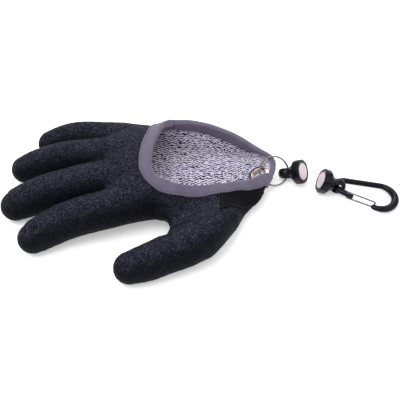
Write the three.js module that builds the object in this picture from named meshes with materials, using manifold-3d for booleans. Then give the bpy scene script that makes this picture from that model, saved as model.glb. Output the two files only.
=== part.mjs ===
// Landing glove for the right hand, lying palm down: fingers towards -X, thumb towards -Y, +Z up.
// It is dipped in latex over a knit, open on the back of the hand, bound with a band,
// and carries an eyelet, a split ring, a two-part magnetic release and a snap hook.
import * as THREE from 'three';
import { mergeVertices } from 'three/addons/utils/BufferGeometryUtils.js';
import Module from 'manifold-3d';

const wasm = await Module();
wasm.setup();

// Sizes of the glove, mm
const PALM_LENGTH = 139.5; // finger webs to wrist tip
const PALM_WIDTH = 115;
const PALM_HEIGHT = 53;
const INDEX_LENGTH = 106.8;
const INDEX_RADIUS = 15.8;
const MIDDLE_LENGTH = 109.7;
const MIDDLE_RADIUS = 15.9;
const RING_FINGER_LENGTH = 104.4;
const RING_FINGER_RADIUS = 15.4;
const LITTLE_LENGTH = 89.8;
const LITTLE_RADIUS = 14.5;
const THUMB_LENGTH = 85.6;
const THUMB_RADIUS = 15.7;
const COATING = 1.1; // wall of the latex skin
const KNIT = 1.2; // wall of the knit
const PLY_GAP = 0.3; // between two layers that lie on each other
const BAND_WIDTH = 10;
const BAND_THICKNESS = 1.1;
const LABEL_LENGTH = 30;
const LABEL_THICKNESS = 0.6;
const LABEL_FRONT = 41.8; // from the wrist tip to its lower front corner
const LABEL_FOOT = 0.49; // that corner's height, share of PALM_HEIGHT
const LABEL_FALL = 41; // degrees that its lower edge falls towards the wrist
const LABEL_CLEAR = 3; // to the eyelet's flange

// Sizes of the metal and plastic parts, mm
const CLEARANCE = 0.3;
const EYELET_HOLE = 10;
const EYELET_FLANGE = 18.5;
const EYELET_PLATE = 0.6;
const SPLIT_RING = 26; // outside diameter
const SPLIT_RING_WIRE = 1.4; // across the ring's radius
const SPLIT_RING_HEIGHT = 1.9; // two turns on each other
const HOLDER_DIAMETER = 21;
const HOLDER_LENGTH = 22.3;
const HOLDER_CUP = 7;
const HOLDER_NECK = 9;
const LUG_DIAMETER = 12.6;
const LUG_HOLE = 7.6;
const LUG_THICKNESS = 4.4;
const MAGNET_DIAMETER = 14;
const MAGNET_HEIGHT = 3;
const HOOK_LENGTH = 55;
const HOOK_ROD = 4.8; // at the spine and the narrow end
const HOOK_ROD_WIDE = 6.4; // at the middle of the wide end
const HOOK_BIG_RADIUS = 12.8; // centre line of the wide end
const HOOK_SMALL_RADIUS = 6.6; // centre line of the narrow end
const GATE_WIRE = 1.5;
const STUB_LENGTH = 11;

const WALL = COATING + PLY_GAP + KNIT;
const TURN = Math.PI / 180;
const FLOOR_POWER = 2.8; // fullness of the palm's lower quarters
const KNUCKLES = 0.845; // share of PALM_LENGTH where the skin's two solids meet, at side 0
const KNUCKLES_TURN = 19.2; // degrees that their joint is turned towards the index finger
const MERGED = 0.1; // vertices closer to their neighbours' plane than this are merged

// Sections of the palm. along: share of PALM_LENGTH from the wrist tip. near, crest, far: shares of
// PALM_WIDTH. middle, crown, floor: shares of PALM_HEIGHT. nearPower, farPower: fullness of the upper
// quarters. lean: slant of the section towards the little finger.
// along, near, crest, far, middle, crown, floor, nearPower, farPower, lean
const PALM_SECTIONS = [
  [1.030, 0.020, 0.200, 0.340, 0.410, 0.490, 0.345, 2.2, 2.2, 0.00],
  [1.005, -0.080, 0.200, 0.440, 0.412, 0.600, 0.262, 2.2, 2.2, 0.00],
  [0.965, -0.190, 0.185, 0.495, 0.412, 0.705, 0.151, 2.2, 2.2, 0.00],
  [0.914, -0.270, 0.157, 0.504, 0.396, 0.774, 0.094, 2.3, 2.4, 0.00],
  [0.814, -0.278, 0.139, 0.500, 0.377, 0.830, 0.038, 2.3, 2.6, 0.00],
  [0.713, -0.278, 0.148, 0.483, 0.358, 0.858, 0.019, 2.1, 2.9, 0.03],
  [0.660, -0.325, 0.168, 0.477, 0.340, 0.900, 0.008, 1.8, 3.2, 0.06],
  [0.613, -0.380, 0.191, 0.470, 0.321, 0.943, 0.000, 1.6, 3.6, 0.08],
  [0.513, -0.435, 0.226, 0.461, 0.283, 1.000, 0.000, 1.25, 4.0, 0.11],
  [0.405, -0.496, 0.243, 0.452, 0.245, 1.000, 0.000, 1.15, 4.0, 0.12],
  [0.326, -0.400, 0.243, 0.435, 0.226, 0.943, 0.000, 1.15, 4.0, 0.12],
  [0.254, -0.300, 0.243, 0.413, 0.208, 0.868, 0.000, 1.2, 4.0, 0.12],
  [0.183, -0.178, 0.243, 0.387, 0.170, 0.755, 0.028, 1.3, 3.6, 0.12],
  [0.111, -0.083, 0.243, 0.365, 0.224, 0.604, 0.120, 1.6, 3.2, 0.10],
  [0.061, 0.033, 0.243, 0.352, 0.277, 0.491, 0.173, 1.8, 2.8, 0.08],
  [0.025, 0.118, 0.243, 0.328, 0.302, 0.445, 0.198, 2.0, 2.4, 0.05],
  [0.000, 0.172, 0.246, 0.292, 0.310, 0.418, 0.206, 2.0, 2.2, 0.00],
];

// Sections of each finger. along, side: shares of its length. height: share of PALM_HEIGHT.
// girth: share of its radius. root: along and side of the palm. heading: degrees from -X.
// along, side, height, girth
const FINGERS = [
  {
    name: 'index', length: INDEX_LENGTH, radius: INDEX_RADIUS, root: [0.739, -0.172], heading: -19.5,
    sections: [
      [-0.040, 0.030, 0.415, 0.800], [0.149, 0.017, 0.425, 0.985], [0.330, 0.013, 0.425, 0.972],
      [0.481, 0.022, 0.406, 0.959], [0.626, 0.031, 0.358, 0.932], [0.753, 0.025, 0.302, 0.896],
      [0.847, 0.012, 0.260, 0.840], [0.887, 0.000, 0.245, 0.760],
    ],
  },
  {
    name: 'middle', length: MIDDLE_LENGTH, radius: MIDDLE_RADIUS, root: [0.834, 0.040], heading: -13.2,
    sections: [
      [0.020, 0.000, 0.440, 0.920], [0.295, 0.022, 0.453, 0.960],
      [0.514, 0.023, 0.415, 0.930], [0.668, 0.028, 0.349, 0.925], [0.783, 0.019, 0.292, 0.894],
      [0.859, 0.010, 0.257, 0.833], [0.892, 0.000, 0.238, 0.751],
    ],
  },
  {
    name: 'ring', length: RING_FINGER_LENGTH, radius: RING_FINGER_RADIUS, root: [0.844, 0.242], heading: -2.2,
    sections: [
      [0.000, 0.000, 0.453, 0.920], [0.144, 0.017, 0.453, 0.974], [0.345, 0.024, 0.443, 0.921],
      [0.539, 0.028, 0.406, 0.895], [0.687, 0.022, 0.340, 0.871], [0.804, 0.015, 0.274, 0.819],
      [0.892, 0.000, 0.219, 0.733],
    ],
  },
  {
    name: 'little', length: LITTLE_LENGTH, radius: LITTLE_RADIUS, root: [0.823, 0.406], heading: 6.2,
    sections: [
      [-0.020, 0.010, 0.400, 0.900], [0.180, 0.034, 0.396, 0.976], [0.395, 0.041, 0.396, 0.907],
      [0.573, 0.041, 0.377, 0.892], [0.693, 0.037, 0.330, 0.866], [0.793, 0.019, 0.274, 0.838],
      [0.872, 0.000, 0.223, 0.792],
    ],
  },
  {
    name: 'thumb', length: THUMB_LENGTH, radius: THUMB_RADIUS, root: [0.378, -0.374], heading: -30,
    sections: [
      [-0.130, 0.045, 0.330, 0.700], [0.164, -0.067, 0.368, 0.983], [0.315, -0.082, 0.340, 1.000],
      [0.509, -0.058, 0.302, 0.947], [0.701, -0.035, 0.264, 0.899], [0.855, 0.000, 0.236, 0.787],
    ],
  },
];

// Edge of the opening seen from above, from the far front corner round the near side past the wrist tip.
// along, side: shares of the palm. lie: how much of the band's width shows from above, where the skin slopes
const OPENING_EDGE = [
  [0.560, 0.760, 1.00], [0.590, 0.482, 1.00], [0.625, 0.450, 1.00], [0.642, 0.383, 1.00],
  [0.656, 0.296, 1.00], [0.687, 0.224, 1.00], [0.717, 0.150, 1.00], [0.733, 0.060, 1.00],
  [0.728, -0.032, 1.00], [0.702, -0.087, 1.00], [0.667, -0.123, 1.00], [0.610, -0.148, 1.00],
  [0.483, -0.146, 1.00], [0.399, -0.133, 0.98], [0.313, -0.090, 0.92], [0.226, -0.036, 0.84],
  [0.135, 0.030, 0.74], [0.072, 0.100, 0.58], [0.004, 0.150, 0.55], [-0.190, 0.200, 0.55],
  [-0.190, 0.760, 1.00],
];
// Height of the opening's edge on the far side.
// along: share of PALM_LENGTH, height: share of PALM_HEIGHT
const OPENING_HEIGHT = [
  [0.900, 0.783], [0.635, 0.776], [0.577, 0.753], [0.515, 0.742], [0.455, 0.711], [0.364, 0.652],
  [0.276, 0.594], [0.211, 0.542], [0.151, 0.470], [0.090, 0.394], [0.040, 0.343], [-0.190, 0.320],
];
const OPENING_TILT = 0.16; // fall of that edge towards the near side
const OPENING_TILT_FROM = 0.435; // share of PALM_WIDTH where the tilt starts

function material(color, roughness, metalness) {
  return new THREE.MeshStandardMaterial({ color, roughness, metalness });
}
const LATEX = material('#1a1b24', 0.85, 0);
const MELANGE = material('#a59fae', 0.95, 0);
const WEBBING = material('#756b80', 0.9, 0);
const WOVEN = material('#17171b', 0.9, 0);
const NICKEL = material('#c9bfc2', 0.3, 1);
const STEEL = material('#b9b8bd', 0.3, 1);
const PLASTIC = material('#15141a', 0.45, 0);
const PLATED = material('#e2d6dc', 0.25, 1);
const ANODISED = material('#120f1c', 0.3, 0.6);

// Turns a list of points and triangles into a closed solid with its faces outwards.
function solidOf(points, triangles) {
  let volume = 0;
  for (const [a, b, c] of triangles) {
    volume += points[a].dot(new THREE.Vector3().crossVectors(points[b], points[c]));
  }
  const turned = volume < 0 ? triangles.map(([a, b, c]) => [a, c, b]) : triangles;
  return new wasm.Manifold(new wasm.Mesh({
    numProp: 3,
    vertProperties: Float32Array.from(points.flatMap((p) => [p.x, p.y, p.z])),
    triVerts: Uint32Array.from(turned.flat()),
  }));
}

// Skin over rings of equal point count, closed by a fan at each end.
function loft(rings) {
  const count = rings[0].length;
  const points = rings.flat().map((p) => p.clone());
  const triangles = [];
  for (let i = 0; i + 1 < rings.length; i += 1) {
    for (let j = 0; j < count; j += 1) {
      const a = i * count + j;
      const b = i * count + ((j + 1) % count);
      triangles.push([a, b, b + count], [a, b + count, a + count]);
    }
  }
  const close = (first, flip) => {
    const ring = points.slice(first, first + count);
    const centre = ring.reduce((sum, p) => sum.add(p), new THREE.Vector3()).divideScalar(count);
    points.push(centre);
    const hub = points.length - 1;
    for (let j = 0; j < count; j += 1) {
      const a = first + j;
      const b = first + ((j + 1) % count);
      triangles.push(flip ? [hub, b, a] : [hub, a, b]);
    }
  };
  close(0, true);
  close((rings.length - 1) * count, false);
  return solidOf(points, triangles);
}

function solidOfGeometry(geometry) {
  const bare = new THREE.BufferGeometry();
  const source = geometry.index ? geometry.toNonIndexed() : geometry;
  bare.setAttribute('position', source.getAttribute('position').clone());
  const merged = mergeVertices(bare, 1e-4);
  const position = merged.getAttribute('position');
  const points = [];
  for (let i = 0; i < position.count; i += 1) {
    points.push(new THREE.Vector3().fromBufferAttribute(position, i));
  }
  const triangles = [];
  for (let i = 0; i < merged.index.count; i += 3) {
    const [a, b, c] = [0, 1, 2].map((k) => merged.index.getX(i + k));
    if (a !== b && b !== c && c !== a) triangles.push([a, b, c]);
  }
  return solidOf(points, triangles);
}

function meshOf(name, solid, surface) {
  const data = solid.simplify(MERGED).getMesh();
  const geometry = new THREE.BufferGeometry();
  const stride = data.numProp;
  const position = new Float32Array((data.vertProperties.length / stride) * 3);
  for (let i = 0; i < position.length / 3; i += 1) {
    for (let k = 0; k < 3; k += 1) position[3 * i + k] = data.vertProperties[stride * i + k];
  }
  geometry.setAttribute('position', new THREE.BufferAttribute(position, 3));
  geometry.setIndex(Array.from(data.triVerts));
  geometry.computeVertexNormals();
  const mesh = new THREE.Mesh(geometry, surface);
  mesh.name = name;
  return mesh;
}

// Ring of points round a centre, in the plane of two axes.
function ring(centre, across, up, a, b, sides) {
  return Array.from({ length: sides }, (_, i) => {
    const t = (2 * Math.PI * i) / sides;
    return centre.clone().addScaledVector(across, a * Math.cos(t)).addScaledVector(up, b * Math.sin(t));
  });
}

const column = (table, at, value) => {
  const rows = [...table].sort((p, q) => p[0] - q[0]);
  if (value <= rows[0][0]) return rows[0][at];
  for (let i = 0; i + 1 < rows.length; i += 1) {
    if (value <= rows[i + 1][0]) {
      const share = (value - rows[i][0]) / (rows[i + 1][0] - rows[i][0]);
      return rows[i][at] + share * (rows[i + 1][at] - rows[i][at]);
    }
  }
  return rows[rows.length - 1][at];
};

// The hand form. inset: how far the surface lies inside the outer skin, negative outside it
const PALM_SIDES = 16;
function palmSolid(inset) {
  const last = PALM_SECTIONS.length - 1;
  const rings = PALM_SECTIONS.map((row, index) => {
    const [along, near, crest, far, middle, crown, floor, nearPower, farPower, lean] = row;
    const end = index === 0 ? inset : index === last ? -inset : 0;
    const x = -along * PALM_LENGTH + end;
    const points = [];
    for (let i = 0; i < PALM_SIDES; i += 1) {
      const t = (2 * Math.PI * (i + 0.5)) / PALM_SIDES;
      const cos = Math.cos(t);
      const sin = Math.sin(t);
      const reach = (cos < 0 ? crest - near : far - crest) * PALM_WIDTH - inset;
      const rise = (sin > 0 ? crown - middle : middle - floor) * PALM_HEIGHT - inset;
      const power = sin > 0 ? (cos < 0 ? nearPower : farPower) : FLOOR_POWER;
      const z = Math.max(rise, 0.4) * Math.sign(sin) * Math.abs(sin) ** (2 / power);
      const y = reach * Math.sign(cos) * Math.abs(cos) ** (2 / power);
      points.push(new THREE.Vector3(x, crest * PALM_WIDTH + y + lean * z, middle * PALM_HEIGHT + z));
    }
    return points;
  });
  return loft(rings);
}

const FINGER_SIDES = 9;
function fingerSolid(finger, inset) {
  const heading = finger.heading * TURN;
  const ahead = new THREE.Vector3(-Math.cos(heading), Math.sin(heading), 0);
  const aside = new THREE.Vector3(Math.sin(heading), Math.cos(heading), 0);
  const start = new THREE.Vector3(-finger.root[0] * PALM_LENGTH, finger.root[1] * PALM_WIDTH, 0);
  const stations = finger.sections.map(([along, side, height, girth]) => ({
    centre: start.clone().addScaledVector(ahead, along * finger.length)
      .addScaledVector(aside, side * finger.length).setZ(height * PALM_HEIGHT),
    radius: girth * finger.radius,
  }));
  const last = stations.length - 1;
  const rings = stations.map(({ centre, radius }, i) => {
    const before = stations[Math.max(i - 1, 0)].centre;
    const after = stations[Math.min(i + 1, last)].centre;
    const along = after.clone().sub(before).normalize();
    const across = new THREE.Vector3().crossVectors(along, new THREE.Vector3(0, 0, 1)).normalize();
    const up = new THREE.Vector3().crossVectors(across, along);
    return { centre, along, across, up, radius: radius - inset };
  });
  const root = rings[0];
  const tip = rings[last];
  const domed = (end, angle) => ({
    ...end,
    centre: end.centre.clone().addScaledVector(end.along, end.radius * Math.sin(angle * TURN)),
    radius: end.radius * Math.cos(angle * TURN),
  });
  rings.push(domed(tip, 32), domed(tip, 62));
  rings.unshift(domed(root, -58), domed(root, -30));
  return loft(rings.map((r) => ring(r.centre, r.across, r.up, r.radius, r.radius, FINGER_SIDES)));
}

function handSolid(inset) {
  return FINGERS.reduce((hand, finger) => hand.add(fingerSolid(finger, inset)), palmSolid(inset));
}

// Moves each point of an open line sideways by its own distance, to the right of the line's run.
function movedAside(line, distances) {
  return line.map((point, i) => {
    const before = line[Math.max(i - 1, 0)];
    const after = line[Math.min(i + 1, line.length - 1)];
    const run = after.clone().sub(before).normalize();
    const aside = new THREE.Vector2(run.y, -run.x);
    return point.clone().addScaledVector(aside, distances[i]);
  });
}

// Space of the opening above the glove, grown outwards over the skin by grow.
function openingSolid(grow) {
  const edge = OPENING_EDGE.map(
    ([along, side]) => new THREE.Vector2(-along * PALM_LENGTH, side * PALM_WIDTH),
  );
  const outline = new THREE.Shape(movedAside(edge, OPENING_EDGE.map((row) => row[2] * grow)));
  const block = new THREE.ExtrudeGeometry(outline, { depth: 4 * PALM_HEIGHT, bevelEnabled: false });
  block.translate(0, 0, -PALM_HEIGHT);
  const low = -PALM_WIDTH;
  const high = 2 * PALM_WIDTH;
  const top = 4 * PALM_HEIGHT;
  const profile = OPENING_HEIGHT.map(
    ([along, height]) => new THREE.Vector2(-along * PALM_LENGTH, height * PALM_HEIGHT),
  );
  const above = movedAside(profile, profile.map(() => grow)).map(({ x, y: height }) => {
    const edgeHeight = (y) => height + OPENING_TILT * (y - OPENING_TILT_FROM * PALM_WIDTH);
    return [
      new THREE.Vector3(x, low, edgeHeight(low)), new THREE.Vector3(x, high, edgeHeight(high)),
      new THREE.Vector3(x, high, top), new THREE.Vector3(x, low, top),
    ];
  });
  return solidOfGeometry(block).intersect(loft(above));
}

// Eyelet at the wrist tip
const EYELET_INSET = 13.5; // from the wrist tip to its centre
const EYELET_SIDE = 20;
const EYELET_EDGE = 0.3; // broken edge of its hole
const SLOPE_SPAN = 0.08; // share of PALM_LENGTH over which the slope at the eyelet is taken
const eyeletShare = EYELET_INSET / PALM_LENGTH;
const layerHeight = (share) => column(PALM_SECTIONS, 6, share) * PALM_HEIGHT;
const eyeletRise = layerHeight(eyeletShare - SLOPE_SPAN / 2) - layerHeight(eyeletShare + SLOPE_SPAN / 2);
const eyeletSlope = eyeletRise / (SLOPE_SPAN * PALM_LENGTH);
const eyeletCentre = new THREE.Vector3(-EYELET_INSET, EYELET_SIDE, layerHeight(eyeletShare) + WALL / 2);
const eyeletTurn = new THREE.Matrix4().makeRotationY(-Math.atan(eyeletSlope)).setPosition(eyeletCentre);
const FLANGE_SEGMENTS = 20;

function latheSolid(profile, segments, placement) {
  const geometry = new THREE.LatheGeometry(profile.map(([r, z]) => new THREE.Vector2(r, z)), segments);
  geometry.rotateX(Math.PI / 2);
  geometry.applyMatrix4(placement);
  return solidOfGeometry(geometry);
}
const discSolid = (radius, from, to, placement) => latheSolid(
  [[0, from], [radius, from], [radius, to], [0, to]], FLANGE_SEGMENTS, placement,
);

const flangeFrom = WALL / 2 + PLY_GAP;
const flangeTo = flangeFrom + EYELET_PLATE;
const barrel = EYELET_HOLE / 2 + EYELET_PLATE;
const eyelet = latheSolid([
  [EYELET_HOLE / 2, -flangeTo + EYELET_EDGE], [EYELET_HOLE / 2 + EYELET_EDGE, -flangeTo],
  [EYELET_FLANGE / 2, -flangeTo], [EYELET_FLANGE / 2, -flangeFrom], [barrel, -flangeFrom],
  [barrel, flangeFrom], [EYELET_FLANGE / 2, flangeFrom], [EYELET_FLANGE / 2, flangeTo],
  [EYELET_HOLE / 2 + EYELET_EDGE, flangeTo], [EYELET_HOLE / 2, flangeTo - EYELET_EDGE],
  [EYELET_HOLE / 2, -flangeTo + EYELET_EDGE],
], FLANGE_SEGMENTS, eyeletTurn);
const eyeletRoom = discSolid(barrel + CLEARANCE, -4 * WALL, 4 * WALL, eyeletTurn)
  .add(discSolid(EYELET_FLANGE / 2 + CLEARANCE, WALL / 2, 4 * WALL, eyeletTurn))
  .add(discSolid(EYELET_FLANGE / 2 + CLEARANCE, -4 * WALL, -WALL / 2, eyeletTurn));

// Layers of the glove
const wallOpening = openingSolid(BAND_THICKNESS + PLY_GAP).add(eyeletRoom);
const coating = handSolid(0).subtract(handSolid(COATING)).subtract(wallOpening);
const knuckles = new THREE.Vector2(-Math.cos(KNUCKLES_TURN * TURN), Math.sin(KNUCKLES_TURN * TURN));
const knucklesAt = -knuckles.x * KNUCKLES * PALM_LENGTH;
const coatingFront = coating.trimByPlane([knuckles.x, knuckles.y, 0], knucklesAt + PLY_GAP / 2);
const coatingBack = coating.trimByPlane([-knuckles.x, -knuckles.y, 0], -knucklesAt + PLY_GAP / 2);
const liner = handSolid(COATING + PLY_GAP).subtract(handSolid(WALL)).subtract(wallOpening);

const bandSpace = palmSolid(-PLY_GAP - BAND_THICKNESS).subtract(palmSolid(WALL + PLY_GAP + BAND_THICKNESS));
const wallSpace = handSolid(-PLY_GAP).subtract(palmSolid(WALL + PLY_GAP))
  .subtract(openingSolid(BAND_THICKNESS));
const band = bandSpace.intersect(openingSolid(BAND_WIDTH)).subtract(openingSolid(0))
  .subtract(wallSpace).subtract(eyeletRoom);

// The label hangs below the band at the near side of the wrist, clear of the eyelet. It is cut by a box
// whose lower front edge is the label's lower front corner and which falls towards the wrist.
const labelFarSide = eyeletCentre.y - EYELET_FLANGE / 2 - LABEL_CLEAR;
const labelWindow = new THREE.BoxGeometry(LABEL_LENGTH, 2 * PALM_WIDTH, 2 * PALM_HEIGHT);
labelWindow.translate(LABEL_LENGTH / 2, labelFarSide - PALM_WIDTH, PALM_HEIGHT);
labelWindow.rotateY(LABEL_FALL * TURN);
labelWindow.translate(-LABEL_FRONT, 0, LABEL_FOOT * PALM_HEIGHT);
const label = palmSolid(-PLY_GAP - LABEL_THICKNESS).subtract(handSolid(-PLY_GAP))
  .intersect(solidOfGeometry(labelWindow)).subtract(openingSolid(BAND_WIDTH + PLY_GAP));

// Split ring
const axisMatrix = (x, y, z, at) => new THREE.Matrix4().makeBasis(x, y, z).setPosition(at);
const RING_TILT = 39 * TURN;
const RING_WIRE_IN_EYELET = new THREE.Vector3(0.27, 3.9, 1.7); // from the eyelet's centre to the wire in it
const ringMid = (SPLIT_RING - SPLIT_RING_WIRE) / 2;
const ringAcross = new THREE.Vector3(1, 0, -0.216).normalize();
const ringUp = new THREE.Vector3(0, Math.cos(RING_TILT), Math.sin(RING_TILT));
ringUp.addScaledVector(ringAcross, -ringUp.dot(ringAcross)).normalize();
const ringNormal = new THREE.Vector3().crossVectors(ringAcross, ringUp);
const ringCentre = eyeletCentre.clone().add(RING_WIRE_IN_EYELET).add(new THREE.Vector3(ringMid, 0, 0));
const ringProfile = [[-1, -1], [1, -1], [1, 1], [-1, 1], [-1, -1]].map(([a, b]) => [
  ringMid + (a * SPLIT_RING_WIRE) / 2, (b * SPLIT_RING_HEIGHT) / 2,
]);
const splitRing = latheSolid(ringProfile, 32, axisMatrix(ringAcross, ringUp, ringNormal, ringCentre));

// Magnet holders, local frame: face in the plane z = 0, axis +Z out of the face, plate of the lug across X
const lugCentre = -(HOLDER_LENGTH - LUG_DIAMETER / 2);
const recess = MAGNET_HEIGHT + CLEARANCE;
const MAGNET_SEGMENTS = 20;
const CUP_BEVEL = 0.9;
const LUG_BEVEL = 0.7;
const LUG_ROUND = 1;
const CONE_LENGTH = 4.5; // from the cup down to the neck
const LUG_WALL = 1.2; // left between the neck's end and the lug's hole
function holderSolid(placement) {
  const outer = HOLDER_DIAMETER / 2;
  const neckEnd = lugCentre + LUG_HOLE / 2 + LUG_WALL;
  const cup = latheSolid([
    [0, 0], [outer - CUP_BEVEL, 0], [outer, -CUP_BEVEL], [outer, -HOLDER_CUP + CUP_BEVEL],
    [outer - CUP_BEVEL, -HOLDER_CUP], [HOLDER_NECK / 2 + CUP_BEVEL, -HOLDER_CUP - CONE_LENGTH],
    [HOLDER_NECK / 2 - CUP_BEVEL, neckEnd], [0, neckEnd],
  ], 8, placement);
  const room = latheSolid([
    [0, -recess], [MAGNET_DIAMETER / 2 + CLEARANCE, -recess], [MAGNET_DIAMETER / 2 + CLEARANCE, 1], [0, 1],
  ], MAGNET_SEGMENTS, placement);
  const plate = new THREE.Matrix4().makeRotationY(Math.PI / 2).setPosition(0, 0, lugCentre);
  plate.premultiply(placement);
  const half = LUG_THICKNESS / 2;
  const lug = latheSolid([
    [LUG_HOLE / 2, -half + LUG_BEVEL], [LUG_HOLE / 2 + LUG_BEVEL, -half], [LUG_DIAMETER / 2 - LUG_ROUND, -half],
    [LUG_DIAMETER / 2, -half + LUG_ROUND], [LUG_DIAMETER / 2, half - LUG_ROUND],
    [LUG_DIAMETER / 2 - LUG_ROUND, half], [LUG_HOLE / 2 + LUG_BEVEL, half], [LUG_HOLE / 2, half - LUG_BEVEL],
    [LUG_HOLE / 2, -half + LUG_BEVEL],
  ], 16, plate);
  return cup.subtract(room).add(lug);
}
const magnetSolid = (placement) => latheSolid([
  [0, -MAGNET_HEIGHT], [MAGNET_DIAMETER / 2, -MAGNET_HEIGHT], [MAGNET_DIAMETER / 2, -0.3],
  [MAGNET_DIAMETER / 2 - 0.3, 0], [0, 0],
], MAGNET_SEGMENTS, placement.clone().multiply(new THREE.Matrix4().makeTranslation(0, 0, CLEARANCE / 2)));

function holderPlacement(face, outward, plateNormal) {
  const x = plateNormal.clone().addScaledVector(outward, -plateNormal.dot(outward)).normalize();
  return axisMatrix(x, new THREE.Vector3().crossVectors(outward, x), outward, face);
}
const gloveFacing = new THREE.Vector3(0.82, -0.32, 0.475).normalize();
const LUG_SEAT = 0.6; // share of its play that the lug has slid along the ring's wire
const lugPlay = (LUG_HOLE - SPLIT_RING_WIRE) / 2 - CLEARANCE;
const ringFarPoint = ringCentre.clone().addScaledVector(ringAcross, ringMid);
const gloveLug = ringFarPoint.clone().addScaledVector(gloveFacing, -LUG_SEAT * lugPlay);
const gloveFace = gloveLug.clone().addScaledVector(gloveFacing, -lugCentre);
const gloveHolder = holderPlacement(gloveFace, gloveFacing, ringUp);

const lineFacing = new THREE.Vector3(-0.93, 0.08, 0.36).normalize();
const RELEASE_GAP = 13.9; // between the two faces, along X
const RELEASE_SIDE = -8; // between the two faces, along Y
const lineFace = gloveFace.clone().add(new THREE.Vector3(RELEASE_GAP, RELEASE_SIDE, 0));
const lineLug = lineFace.clone().addScaledVector(lineFacing, lugCentre);
lineLug.z = LUG_DIAMETER / 2 + 0.2;
lineFace.copy(lineLug).addScaledVector(lineFacing, -lugCentre);

// Snap hook, local frame: narrow end's centre at the origin, wide end on +X, plane z = 0
const hookSpan = HOOK_LENGTH - (HOOK_ROD + HOOK_ROD_WIDE) / 2 - HOOK_BIG_RADIUS - HOOK_SMALL_RADIUS;
const flare = Math.asin((HOOK_BIG_RADIUS - HOOK_SMALL_RADIUS) / hookSpan);
const lugAngle = 195 * TURN; // where the lug sits on the narrow end
const HOOK_NOSE_ANGLE = -110;
const hookYaw = -20.5 * TURN;
const hookX = new THREE.Vector3(Math.cos(hookYaw), Math.sin(hookYaw), -0.063).normalize();
const hookZ = new THREE.Vector3(0, 0, 1).addScaledVector(hookX, -hookX.z).normalize();
const hookY = new THREE.Vector3().crossVectors(hookZ, hookX);
const lugRadial = new THREE.Vector3(Math.cos(lugAngle), Math.sin(lugAngle), 0);
const lugOnHook = lugRadial.clone().multiplyScalar(HOOK_SMALL_RADIUS);
const lugLean = (LUG_HOLE - HOOK_ROD) / 2 - CLEARANCE - 0.05; // the rod leans on the bore towards the cup
const hookTurn = axisMatrix(hookX, hookY, hookZ, new THREE.Vector3());
const hookOrigin = lineLug.clone()
  .sub(lugOnHook.clone().setX(lugOnHook.x + lugLean).applyMatrix4(hookTurn));
const rodHere = new THREE.Vector3(-Math.sin(lugAngle), Math.cos(lugAngle), 0).applyMatrix4(hookTurn);
const lineHolder = holderPlacement(lineFace, lineFacing, rodHere);

function hookPath() {
  const path = [];
  const arc = (cx, radius, from, to, steps) => {
    for (let i = 0; i <= steps; i += 1) {
      const t = from + ((to - from) * i) / steps;
      path.push(new THREE.Vector3(cx + radius * Math.cos(t), radius * Math.sin(t), 0));
    }
  };
  const low = -Math.PI / 2 - flare;
  const start = new THREE.Vector3(HOOK_SMALL_RADIUS * Math.cos(low), HOOK_SMALL_RADIUS * Math.sin(low), 0);
  const gateLine = new THREE.Vector3(Math.cos(-flare), Math.sin(-flare), 0);
  path.push(start.clone().addScaledVector(gateLine, STUB_LENGTH));
  path.push(start.clone().addScaledVector(gateLine, STUB_LENGTH - 0.8));
  path.push(start.clone().addScaledVector(gateLine, STUB_LENGTH / 2));
  arc(0, HOOK_SMALL_RADIUS, low, -2 * Math.PI - low, 9);
  arc(hookSpan, HOOK_BIG_RADIUS, Math.PI / 2 + flare, (HOOK_NOSE_ANGLE + 4) * TURN, 14);
  const nose = HOOK_NOSE_ANGLE * TURN;
  const noseEnd = new THREE.Vector3(Math.cos(nose), Math.sin(nose), 0).multiplyScalar(HOOK_BIG_RADIUS);
  path.push(noseEnd.setX(noseEnd.x + hookSpan));
  return { path, start, gateLine };
}
const { path: rodPath, start: stubRoot, gateLine } = hookPath();
const noseHalf = 0.35 * HOOK_ROD; // the nose is flattened between the gate's legs
const HOOK_SIDES = 8;
const NOSE_TAPER = 7; // length over which it is flattened
const rodRings = rodPath.map((centre, i) => {
  const last = rodPath.length - 1;
  const along = rodPath[Math.min(i + 1, last)].clone().sub(rodPath[Math.max(i - 1, 0)]).normalize();
  const across = new THREE.Vector3(-along.y, along.x, 0);
  const towardsBend = THREE.MathUtils.clamp((centre.x - hookSpan) / HOOK_BIG_RADIUS, 0, 1);
  const radius = (HOOK_ROD + (HOOK_ROD_WIDE - HOOK_ROD) * towardsBend) / 2;
  const atEnd = i === 0 || i === last ? 0.8 : 1;
  const toNose = THREE.MathUtils.clamp(centre.distanceTo(rodPath[last]) / NOSE_TAPER, 0, 1);
  const height = i > last / 2 ? noseHalf + (radius - noseHalf) * toNose : radius;
  return ring(centre, across, new THREE.Vector3(0, 0, 1), radius * atEnd, height * atEnd, HOOK_SIDES);
});
const gateNormal = new THREE.Vector3(-gateLine.y, gateLine.x, 0); // towards the inside of the hook
const PIVOT_INSET = 5; // from the end of the stub
const PIVOT_DROP = 0.6; // off the rod's centre line, outwards
const CATCH_INSET = 1.6; // from the end of the nose
const pivot = stubRoot.clone().addScaledVector(gateLine, STUB_LENGTH - PIVOT_INSET)
  .addScaledVector(gateNormal, -PIVOT_DROP);
const nosePoint = rodPath[rodPath.length - 1];
const catchPoint = nosePoint.clone().addScaledVector(gateLine, CATCH_INSET)
  .addScaledVector(gateNormal, HOOK_ROD / 2);
const pinRadius = GATE_WIRE / 2 + CLEARANCE;
const pinRoom = new THREE.CylinderGeometry(pinRadius, pinRadius, 2 * HOOK_ROD, 12);
pinRoom.rotateX(Math.PI / 2);
const pivotRoom = pinRoom.clone().translate(pivot.x, pivot.y, 0);
const catchRoom = pinRoom.clone().translate(catchPoint.x, catchPoint.y, 0);
const hookLocal = loft(rodRings).subtract(solidOfGeometry(pivotRoom)).subtract(solidOfGeometry(catchRoom));

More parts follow.
